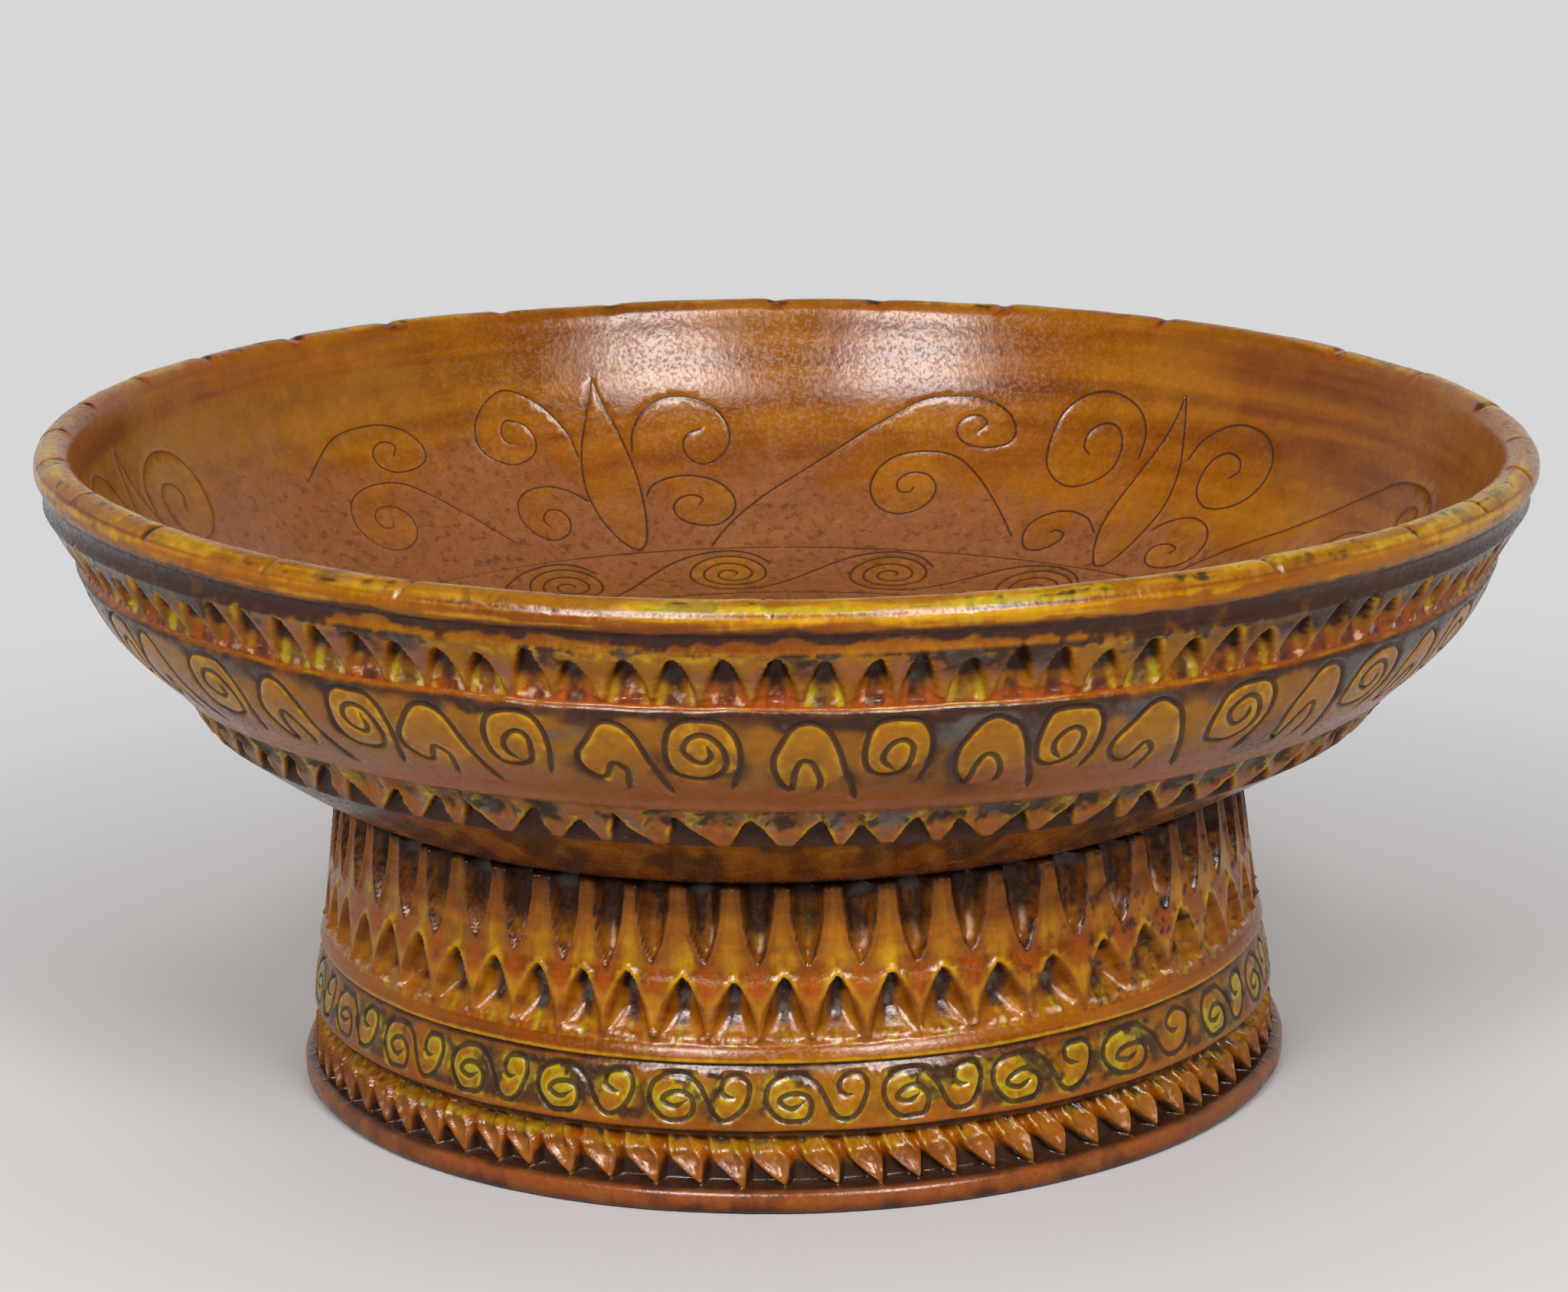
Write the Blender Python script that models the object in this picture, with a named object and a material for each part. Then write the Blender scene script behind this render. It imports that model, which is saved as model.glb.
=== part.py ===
"""Footed serving bowl in carved and glazed earthenware, in metres, +Z up.

The origin is the centre of the circle that the foot rests on. The bowl and its
hollow foot are thrown apart, carved, and luted together with a ring of slip.
Each wall is a stack of loops, from one turned ring to the next. A carved ring
has its lands and the bottoms of its cuts as points of its own, so that every
gouge keeps a crisp edge.
"""

import math
import random

import bmesh
import bpy

TURN = 2 * math.pi

# Clearance between two pieces that touch
GAP = 0.0003

# Faces round a plain turned ring, and round one that is out of sight
PLAIN_SEGMENTS = 64
HIDDEN_SEGMENTS = 48

# The whole bowl. The smooth scroll band takes the height that the other bands leave
TOTAL_HEIGHT = 0.1285
RIM_RADIUS = 0.1476

# Foot: radii, walls and the heights of its bands, from the table up. The flutes take the height that
# the bands below them leave
FOOT_HEIGHT = 0.0593
BASE_RADIUS = 0.0994
BASE_STEP = 0.0015
NECK_RADIUS = 0.0903
FOOT_WALL = 0.0085
RESTING_RING_WIDTH = 0.0070
FOOT_EDGE_ROUNDING = 0.0009
BASE_RING_HEIGHT = 0.0044
TOOTH_BAND_HEIGHT = 0.0098
FOOT_SCROLL_BAND_HEIGHT = 0.0126
FOOT_LEDGE_HEIGHT = 0.0035
ARCH_BAND_HEIGHT = 0.0134
LINE_GROOVE_DEPTH = 0.0008
LINE_GROOVE_WIDTH = 0.0012

# Slip ring that holds the bowl to the foot
SLIP_THICKNESS = 0.0011
SLIP_SETBACK = 0.0006

# Bowl: radii of its corners, and the heights of its bands from the seat up
UNDERSIDE_RADIUS = 0.1160
SCROLL_BAND_LOW_RADIUS = 0.1236
SCROLL_BAND_TOP_RADIUS = 0.1402
SCROLL_BAND_BULGE = 0.0027
UPPER_BAND_TOP_RADIUS = 0.1454
UNDERSIDE_RISE = 0.0150
LOWER_BAND_HEIGHT = 0.0092
SCROLL_BAND_OVERHANG = 0.0018
UPPER_BAND_HEIGHT = 0.0122
COVE_HEIGHT = 0.0034
COVE_DEPTH = 0.0010
LEDGE_DEPTH = 0.0010
RIM_ROLL_RADIUS = 0.0037
RIM_ROLL_START = math.radians(-50)
BOWL_WALL = 0.0075
FLOOR_THICKNESS = 0.0115

# Carved cuts: how many go round, how deep each is, and how far a row is turned, as a share of its pitch
UPPER_GOUGE_COUNT = 107
UPPER_GOUGE_DEPTH = 0.0034
UPPER_GOUGE_TURN = 0.99
LOWER_GOUGE_COUNT = 77
LOWER_GOUGE_DEPTH = 0.0028
LOWER_GOUGE_TURN = 0.96
FLUTE_COUNT = 57
FLUTE_DEPTH = 0.0034
FLUTE_TURN = 0.15
ARCH_DEPTH = 0.0038
TOOTH_COUNT = 78
TOOTH_DEPTH = 0.0030
TOOTH_LEAN = 0.22
TOOTH_TURN = 0.82
RIM_NOTCH_COUNT = 27
RIM_NOTCH_DEPTH = 0.0011
RIM_NOTCH_WIDTH = 0.0026
RIM_NOTCH_JITTER = 0.24
NOTCH_SEED = 4

# Colours of the glaze, with its roughness
AMBER_BROWN = (0.33, 0.13, 0.025)
AMBER_OCHRE = (0.36, 0.15, 0.035)
SLIP_BROWN = (0.06, 0.03, 0.015)
GLAZE_ROUGHNESS = 0.22
SLIP_ROUGHNESS = 0.45


def clear_scene():
    for obj in list(bpy.data.objects):
        bpy.data.objects.remove(obj, do_unlink=True)


def glaze(name, colour, roughness):
    material = bpy.data.materials.new(name)
    material.use_nodes = True
    shader = material.node_tree.nodes["Principled BSDF"]
    shader.inputs["Base Color"].default_value = (*colour, 1.0)
    shader.inputs["Roughness"].default_value = roughness
    shader.inputs["Metallic"].default_value = 0.0
    material.diffuse_color = (*colour, 1.0)
    return material


def plain_loop(radius, height, segments=PLAIN_SEGMENTS):
    """A turned ring, as (angle, radius, height) points."""
    return [(TURN * i / segments, radius, height) for i in range(segments)]


def carved_loop(radius, height, centres, pitch, points):
    """A ring cut once at each centre angle. Each point is (share of the pitch from the centre, inset)."""
    return [
        (centre + share * pitch, radius - inset, height)
        for centre in centres
        for share, inset in points
    ]


def even_centres(count, turn):
    """Angles of cuts that are spread evenly, the first one this share of a pitch from angle 0."""
    return [TURN * (i + turn) / count for i in range(count)]


def arch_cut(width, depth):
    """The three points of a gouge at one height: its two edges, and its bottom between them."""
    return [(-width / 2, 0.0), (0.0, depth), (width / 2, 0.0)]


def add_loop(mesh, loop):
    return [
        mesh.verts.new((radius * math.cos(angle), radius * math.sin(angle), height))
        for angle, radius, height in loop
    ]


def join_loops(mesh, lower, upper, lower_points, upper_points):
    """Faces between two loops: quads where they match one to one, else triangles in step round the turn."""
    a, b = len(lower), len(upper)
    if a == b:
        for i in range(a):
            j = (i + 1) % a
            mesh.faces.new((lower[i], lower[j], upper[j], upper[i]))
        return

    def angle_at(points, index):
        return points[index % len(points)][0] + TURN * (index // len(points))

    i = j = 0
    while i < a or j < b:
        lower_is_next = angle_at(lower_points, i + 1) <= angle_at(upper_points, j + 1)
        if j == b or (i < a and lower_is_next):
            mesh.faces.new((lower[i % a], lower[(i + 1) % a], upper[j % b]))
            i += 1
        else:
            mesh.faces.new((lower[i % a], upper[(j + 1) % b], upper[j % b]))
            j += 1


def cap_loop(mesh, ring, height):
    """Closes a loop with a fan of triangles to a point on the axis."""
    centre = mesh.verts.new((0.0, 0.0, height))
    for i, vert in enumerate(ring):
        mesh.faces.new((vert, ring[(i + 1) % len(ring)], centre))


def wall_object(name, loops, material, cap_heights=None):
    """One closed solid from its loops. Without cap heights the last loop joins the first, as on a ring."""
    mesh = bmesh.new()
    rings = [add_loop(mesh, loop) for loop in loops]
    for k in range(len(loops) - 1):
        join_loops(mesh, rings[k], rings[k + 1], loops[k], loops[k + 1])
    if cap_heights is None:
        join_loops(mesh, rings[-1], rings[0], loops[-1], loops[0])
    else:
        cap_loop(mesh, rings[0], cap_heights[0])
        cap_loop(mesh, rings[-1], cap_heights[1])
    bmesh.ops.recalc_face_normals(mesh, faces=mesh.faces)
    bmesh.ops.triangulate(mesh, faces=mesh.faces, quad_method="SHORT_EDGE")
    data = bpy.data.meshes.new(name)
    mesh.to_mesh(data)
    mesh.free()
    data.shade_smooth()
    data.set_sharp_from_angle(angle=math.radians(30))
    data.materials.append(material)
    obj = bpy.data.objects.new(name, data)
    bpy.context.scene.collection.objects.link(obj)
    return obj


def blend(low, high, share):
    return low + (high - low) * share


def smooth_through(points, steps):
    """A Catmull-Rom curve through (radius, height) points, with this many steps between each two."""
    ends = [points[0], *points, points[-1]]
    curve = []
    for k in range(1, len(ends) - 2):
        before, start, end, after = ends[k - 1 : k + 3]
        for step in range(steps):
            t = step / steps
            curve.append(
                tuple(
                    0.5
                    * (
                        2 * start[axis]
                        + (end[axis] - before[axis]) * t
                        + (2 * before[axis] - 5 * start[axis] + 4 * end[axis] - after[axis]) * t**2
                        + (3 * start[axis] - before[axis] - 3 * end[axis] + after[axis]) * t**3
                    )
                    for axis in (0, 1)
                )
            )
    return [*curve, points[-1]]


SEAT_HEIGHT = FOOT_HEIGHT + GAP + SLIP_THICKNESS + GAP


def foot_radius(height):
    """The foot's straight flare, behind the step of its base ring."""
    return blend(BASE_RADIUS - BASE_STEP, NECK_RADIUS, height / FOOT_HEIGHT)


def base_ring_loops():
    """The plain ring that stands proud at the foot's lower edge."""
    return [
        plain_loop(BASE_RADIUS - FOOT_EDGE_ROUNDING, 0.0),
        plain_loop(BASE_RADIUS, FOOT_EDGE_ROUNDING),
        plain_loop(BASE_RADIUS, BASE_RING_HEIGHT - FOOT_EDGE_ROUNDING),
    ]


def tooth_band_loops():
    """Chip cuts that leave a row of teeth pointing down, each leaning a little to one side."""
    bottom = BASE_RING_HEIGHT
    pitch = TURN / TOOTH_COUNT
    shares = ((0.0, 0.82, 0.75), (0.42, 0.52, 1.0), (1.0, 0.10, 0.12))
    loops = []
    for rise, width, depth_share in shares:
        height = bottom + rise * (TOOTH_BAND_HEIGHT - LINE_GROOVE_WIDTH)
        lean = TOOTH_LEAN * (1 - rise) * pitch
        centres = [centre + lean for centre in even_centres(TOOTH_COUNT, TOOTH_TURN)]
        cut = arch_cut(width, depth_share * TOOTH_DEPTH)
        loops.append(carved_loop(foot_radius(height), height, centres, pitch, cut))
    return loops


def line_groove_loops(height):
    """A turned line that parts two bands of the foot."""
    half = LINE_GROOVE_WIDTH / 2
    return [
        plain_loop(foot_radius(height - half), height - half),
        plain_loop(foot_radius(height) - LINE_GROOVE_DEPTH, height),
        plain_loop(foot_radius(height + half), height + half),
    ]


def flute_points(flute_depth, arch_depth, flute_half_width):
    """One pitch of the foot's carved wall: the flute's bottom, an edge, the arch's bottom and an edge."""
    edge_inset = 0.12 * max(flute_depth, arch_depth)
    return [
        (0.0, flute_depth),
        (flute_half_width, edge_inset),
        (0.5, arch_depth),
        (1 - flute_half_width, edge_inset),
    ]


def arch_and_flute_loops(bottom):
    """Arched gouges, and over them long flutes that end between the arches and open at the foot's top."""
    middle = bottom + ARCH_BAND_HEIGHT
    centres = even_centres(FLUTE_COUNT, FLUTE_TURN)
    pitch = TURN / FLUTE_COUNT
    rows = [
        (bottom, 0.0, 0.20 * ARCH_DEPTH, 0.06),
        (blend(bottom, middle, 0.28), 0.0, 0.62 * ARCH_DEPTH, 0.13),
        (blend(bottom, middle, 0.66), 0.0, ARCH_DEPTH, 0.24),
        (blend(bottom, middle, 0.90), 0.0, 0.55 * ARCH_DEPTH, 0.37),
        (middle, 0.10 * FLUTE_DEPTH, 0.0, 0.20),
        (blend(middle, FOOT_HEIGHT, 0.26), 0.80 * FLUTE_DEPTH, 0.0, 0.27),
        (blend(middle, FOOT_HEIGHT, 0.62), FLUTE_DEPTH, 0.0, 0.35),
        (FOOT_HEIGHT, FLUTE_DEPTH, 0.0, 0.38),
    ]
    return [
        carved_loop(foot_radius(height), height, centres, pitch, flute_points(flute, arch, half_width))
        for height, flute, arch, half_width in rows
    ]


def foot_inner_loops():
    """The foot's hollow, from its top down to the resting ring."""
    top_radius = NECK_RADIUS - FLUTE_DEPTH - FOOT_WALL + FLUTE_DEPTH / 2
    bottom_radius = BASE_RADIUS - FOOT_EDGE_ROUNDING - RESTING_RING_WIDTH
    return [
        plain_loop(top_radius, FOOT_HEIGHT, HIDDEN_SEGMENTS),
        plain_loop(blend(top_radius, bottom_radius, 0.35), FOOT_HEIGHT * 0.5, HIDDEN_SEGMENTS),
        plain_loop(bottom_radius - FOOT_EDGE_ROUNDING, FOOT_EDGE_ROUNDING * 2, HIDDEN_SEGMENTS),
        plain_loop(bottom_radius, 0.0, HIDDEN_SEGMENTS),
    ]


def make_foot(material):
    tooth_top = BASE_RING_HEIGHT + TOOTH_BAND_HEIGHT
    band_top = tooth_top + FOOT_SCROLL_BAND_HEIGHT
    ledge_top = band_top + FOOT_LEDGE_HEIGHT
    loops = [
        *base_ring_loops(),
        *tooth_band_loops(),
        *line_groove_loops(tooth_top),
        *line_groove_loops(band_top),
        *arch_and_flute_loops(ledge_top),
        *foot_inner_loops(),
    ]
    return wall_object("foot", loops, material)


def make_slip_seam(material):
    """The ring of slip between the foot's top and the bowl's seat, a little inside both."""
    bottom = FOOT_HEIGHT + GAP
    top = bottom + SLIP_THICKNESS
    outer = NECK_RADIUS - FLUTE_DEPTH - SLIP_SETBACK
    inner = outer - FOOT_WALL / 2
    loops = [
        plain_loop(outer, bottom, HIDDEN_SEGMENTS),
        plain_loop(outer, top, HIDDEN_SEGMENTS),
        plain_loop(inner, top, HIDDEN_SEGMENTS),
        plain_loop(inner, bottom, HIDDEN_SEGMENTS),
    ]
    return wall_object("slip_seam", loops, material)


def gouge_band_loops(low, high, count, depth, turn, rows):
    """A band of arched gouges between two (radius, height) corners, cut row by row.

    A row is (rise, width, share of the depth).
    """
    pitch = TURN / count
    return [
        carved_loop(
            blend(low[0], high[0], rise),
            blend(low[1], high[1], rise),
            even_centres(count, turn),
            pitch,
            arch_cut(width, share * depth),
        )
        for rise, width, share in rows
    ]


def bulged_band_loops(low, high, bulge, strips):
    """A plain band between two corners, swelling outwards between them."""
    loops = []
    for k in range(strips + 1):
        share = k / strips
        swell = bulge * math.sin(math.pi * share)
        loops.append(plain_loop(blend(low[0], high[0], share) + swell, blend(low[1], high[1], share)))
    return loops


def notch_centres():
    """Hand-cut notches of the rim: about even, each a little off its place."""
    draw = random.Random(NOTCH_SEED)
    pitch = TURN / RIM_NOTCH_COUNT
    return [(i + 0.5 + draw.uniform(-1, 1) * RIM_NOTCH_JITTER) * pitch for i in range(RIM_NOTCH_COUNT)]


def rim_loops(centre_height):
    """The rolled rim from its outer underside over the crest to its inner lip, notched across."""
    pitch = TURN / RIM_NOTCH_COUNT
    half_width = RIM_NOTCH_WIDTH / 2 / RIM_RADIUS / pitch
    centres = notch_centres()
    loops = []
    for degrees, share in ((0, 0.0), (42, 0.6), (85, 1.0), (140, 1.0), (175, 1.0), (215, 0.4)):
        lean = RIM_ROLL_START + math.radians(degrees)
        drop = share * RIM_NOTCH_DEPTH
        loop = []
        for k, centre in enumerate(centres):
            following = centres[(k + 1) % len(centres)] + TURN * ((k + 1) // len(centres))
            gap = (following - centre) / pitch
            stops = [(-half_width, 0.0), (0.0, drop), (half_width, 0.0), (gap / 3, 0.0), (gap * 2 / 3, 0.0)]
            for place, inset in stops:
                roll = RIM_ROLL_RADIUS - inset
                radius = RIM_RADIUS - RIM_ROLL_RADIUS + roll * math.cos(lean)
                loop.append((centre + place * pitch, radius, centre_height + roll * math.sin(lean)))
        loops.append(loop)
    return loops


def make_bowl(material):
    underside = (UNDERSIDE_RADIUS, SEAT_HEIGHT + UNDERSIDE_RISE)
    band_low = (SCROLL_BAND_LOW_RADIUS, underside[1] + LOWER_BAND_HEIGHT)
    recess = (SCROLL_BAND_LOW_RADIUS - SCROLL_BAND_OVERHANG, band_low[1] - SCROLL_BAND_OVERHANG)

    rim_centre_height = TOTAL_HEIGHT - RIM_ROLL_RADIUS
    rim_underside = rim_centre_height + RIM_ROLL_RADIUS * math.sin(RIM_ROLL_START)
    cove = (UPPER_BAND_TOP_RADIUS - COVE_DEPTH, rim_underside - COVE_HEIGHT / 2)
    carved_top = (UPPER_BAND_TOP_RADIUS, rim_underside - COVE_HEIGHT)
    band_top = (SCROLL_BAND_TOP_RADIUS, carved_top[1] - UPPER_BAND_HEIGHT)
    ledge = (SCROLL_BAND_TOP_RADIUS - LEDGE_DEPTH, band_top[1] + LEDGE_DEPTH)

    gouge_rows = ((0.0, 0.84, 0.30), (0.34, 0.64, 0.75), (0.72, 0.42, 1.0), (1.0, 0.10, 0.10))
    triangle_rows = ((0.0, 0.80, 0.45), (0.45, 0.55, 1.0), (1.0, 0.12, 0.35))
    outer = [
        plain_loop(NECK_RADIUS, SEAT_HEIGHT),
        plain_loop(blend(NECK_RADIUS, UNDERSIDE_RADIUS, 0.52), blend(SEAT_HEIGHT, underside[1], 0.42)),
        plain_loop(underside[0], underside[1] - LINE_GROOVE_WIDTH),
        *gouge_band_loops(
            underside, recess, LOWER_GOUGE_COUNT, LOWER_GOUGE_DEPTH, LOWER_GOUGE_TURN, triangle_rows
        ),
        *bulged_band_loops(band_low, band_top, SCROLL_BAND_BULGE, 4),
        *gouge_band_loops(
            ledge, carved_top, UPPER_GOUGE_COUNT, UPPER_GOUGE_DEPTH, UPPER_GOUGE_TURN, gouge_rows
        ),
        plain_loop(*cove),
    ]

    floor_height = SEAT_HEIGHT + FLOOR_THICKNESS
    lip = (RIM_RADIUS - 2 * RIM_ROLL_RADIUS - RIM_NOTCH_DEPTH, rim_centre_height - RIM_ROLL_RADIUS)
    corners = [
        lip,
        (band_top[0] - BOWL_WALL, band_top[1]),
        (band_low[0] - BOWL_WALL * 0.7, band_low[1] + BOWL_WALL * 0.7),
        (NECK_RADIUS, floor_height + BOWL_WALL * 0.35),
        (NECK_RADIUS * 0.55, floor_height),
    ]
    inner = [plain_loop(radius, height, PLAIN_SEGMENTS) for radius, height in smooth_through(corners, 2)]
    loops = [*outer, *rim_loops(rim_centre_height), *inner]
    return wall_object("bowl", loops, material, cap_heights=(SEAT_HEIGHT, floor_height))


def main():
    clear_scene()
    make_foot(glaze("foot_glaze", AMBER_OCHRE, GLAZE_ROUGHNESS))
    make_slip_seam(glaze("slip", SLIP_BROWN, SLIP_ROUGHNESS))
    make_bowl(glaze("bowl_glaze", AMBER_BROWN, GLAZE_ROUGHNESS))


main()
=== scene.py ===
import math

import bpy
import numpy as np
from mathutils import Matrix, Vector
from mathutils.geometry import convex_hull_2d, delaunay_2d_cdt
from mathutils.kdtree import KDTree


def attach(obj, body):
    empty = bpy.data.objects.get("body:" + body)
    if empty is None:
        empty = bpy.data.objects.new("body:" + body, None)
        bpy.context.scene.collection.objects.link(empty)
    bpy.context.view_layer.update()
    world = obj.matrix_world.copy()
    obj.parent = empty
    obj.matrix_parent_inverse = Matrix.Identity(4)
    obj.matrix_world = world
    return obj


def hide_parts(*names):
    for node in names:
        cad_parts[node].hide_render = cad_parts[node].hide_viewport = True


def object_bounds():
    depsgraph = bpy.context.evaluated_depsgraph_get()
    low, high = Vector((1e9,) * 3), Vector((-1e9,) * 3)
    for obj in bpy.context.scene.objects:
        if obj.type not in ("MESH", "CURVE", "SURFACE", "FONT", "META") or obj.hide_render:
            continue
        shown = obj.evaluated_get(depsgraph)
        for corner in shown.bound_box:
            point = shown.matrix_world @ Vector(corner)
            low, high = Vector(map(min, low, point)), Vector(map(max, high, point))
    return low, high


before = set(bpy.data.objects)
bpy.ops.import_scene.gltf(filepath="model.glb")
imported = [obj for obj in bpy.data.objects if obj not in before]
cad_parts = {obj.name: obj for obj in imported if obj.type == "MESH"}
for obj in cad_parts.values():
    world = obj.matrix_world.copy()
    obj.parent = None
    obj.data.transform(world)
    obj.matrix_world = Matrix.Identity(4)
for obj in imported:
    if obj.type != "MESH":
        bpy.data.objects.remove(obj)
cad_low, cad_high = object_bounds()

# Looks of the footed bowl. The walls are worked out in millimetres. An outer angle is in degrees from the
# front (-Y) towards +X, an inner one in degrees from the back (+Y) towards +X. Carving is real relief, and
# the incised scrolls are grooves whose edges are edges of the mesh.

MM = 0.001
TURN = 2 * math.pi
# What a point of the mesh can say about its glaze, from 0 to 1, with some light painted on: dark also
# paints shade in cuts, hollows and joints, and pale paints glints and highlights. The material turns each
# into a colour.
MASKS = ("dark", "edge", "pink", "pale", "line", "fill", "warm", "bare", "green", "olive", "mauve", "grey")
# A colour layer of the mesh holds this many masks
CHANNELS = 4
LAYERS = ("glaze_a", "glaze_b", "glaze_c")
# Columns of the grids around the turning axis
FOOT_COLUMNS, BOWL_COLUMNS = 1368, 1712
UNDERSIDE_COLUMNS, SMOOTH_COLUMNS, HIDDEN_COLUMNS = 856, 428, 96


def smooth(x, low, high):
    """Smoothly from 0 at low to 1 at high. Low can be the larger one."""
    t = np.clip((x - low) / (high - low), 0, 1)
    return t * t * (3 - 2 * t)


def bell(x, middle, width):
    """1 at the middle, and near 0 further than about twice the width from it."""
    return np.exp(-(((x - middle) / width) ** 2))


def down(*values):
    """One value for each row of a grid."""
    return np.array(values)[:, None]


def angles(count):
    """Evenly spread angles around the turning axis."""
    return -math.pi + TURN * np.arange(count) / count


def wrapped(theta):
    """Angles brought to one turn around the front."""
    return (theta + math.pi) % TURN - math.pi


def in_turn(degrees):
    """Angles in radians, sorted and brought to one turn around the front."""
    return np.radians(np.sort((np.asarray(degrees) + 180) % 360 - 180))


def lengths(line):
    """How far it is along a line from its start to each of its points."""
    return np.r_[0, np.cumsum(np.hypot(*np.diff(line, axis=0).T))]


def turned(radius, theta, height):
    """Points by their distance from the turning axis, their angle from the front and their height."""
    x, y, z = np.broadcast_arrays(radius * np.sin(theta), -radius * np.cos(theta), height)
    return np.stack([x, y, z], axis=-1)


def new_object(name, data):
    """An object that is linked to the scene."""
    made = bpy.data.objects.new(name, data)
    bpy.context.scene.collection.objects.link(made)
    return made


def middles(centres):
    """The angles halfway between neighbouring cuts."""
    halfway = centres + ((np.roll(centres, -1) - centres) % TURN) / 2
    return np.sort(wrapped(halfway))


# Length of the noise's table, and numbers that spread the cells of space over it
NOISE_TABLE, CELL_PRIMES = 4096, (73856093, 19349663, 83492791)
# A turn in space, so that the two sizes of noise do not line up
TILT = np.array([[0.80, 0.36, 0.48], [-0.60, 0.48, 0.64], [0.0, -0.80, 0.60]])


def value_noise(points, size, seed):
    """Smooth noise from 0 to 1 at (n, 3) points, with features of this size in mm."""
    table = np.random.default_rng(seed).random(NOISE_TABLE)
    p = np.asarray(points, float) / size
    cell = np.floor(p).astype(np.int64)
    f = p - cell
    f = f * f * (3 - 2 * f)
    total = np.zeros(len(p))
    for corner in np.ndindex(2, 2, 2):
        at = cell + np.array(corner)
        index = np.bitwise_xor.reduce(at * CELL_PRIMES, axis=1) % NOISE_TABLE
        weight = np.where(np.array(corner) == 1, f, 1 - f).prod(axis=1)
        total += weight * table[index]
    return total


def noise(points, size, seed):
    """Mottling from 0 to 1 at (n, 3) points: features of this size in mm, with finer ones in them."""
    large = value_noise(points, size, seed)
    small = value_noise(np.asarray(points) @ TILT, size * 0.4, seed + 500)
    return np.clip(0.5 + 0.85 * (large - 0.5) + 0.5 * (small - 0.5), 0, 1)


def relief(h, size, spacing):
    """How far a wall stands proud of what is near, in mm. Spacing is the mm between rows and columns."""
    blurred = h
    for axis, step in enumerate(spacing):
        n = max(int(2 * size / step), 1)
        weights = bell(np.arange(-n, n + 1) * step, 0, size)
        pad = [(0, 0), (0, 0)]
        pad[axis] = (n, n)
        padded = np.pad(blurred, pad, mode=("edge", "wrap")[axis])
        shifted = (np.take(padded, np.arange(k, k + h.shape[axis]), axis) for k in range(2 * n + 1))
        blurred = sum(w * part for w, part in zip(weights, shifted)) / weights.sum()
    return h - blurred


def catmull(points, step):
    """A smooth open curve through 2-D points, resampled at this step."""
    p = np.asarray(points, float)
    p = np.vstack([2 * p[0] - p[1], p, 2 * p[-1] - p[-2]])
    t = np.linspace(0, 1, 24, endpoint=False)[:, None]
    runs = []
    for a, b, c, d in zip(p[:-3], p[1:-2], p[2:-1], p[3:]):
        run = 2 * b + (c - a) * t + (2 * a - 5 * b + 4 * c - d) * t**2 + (3 * b - a - 3 * c + d) * t**3
        runs.append(0.5 * run)
    fine = np.vstack([*runs, p[-2:-1]])
    along = lengths(fine)
    count = max(int(round(along[-1] / step)), 2)
    places = np.linspace(0, along[-1], count + 1)
    return np.c_[np.interp(places, along, fine[:, 0]), np.interp(places, along, fine[:, 1])]


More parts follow.
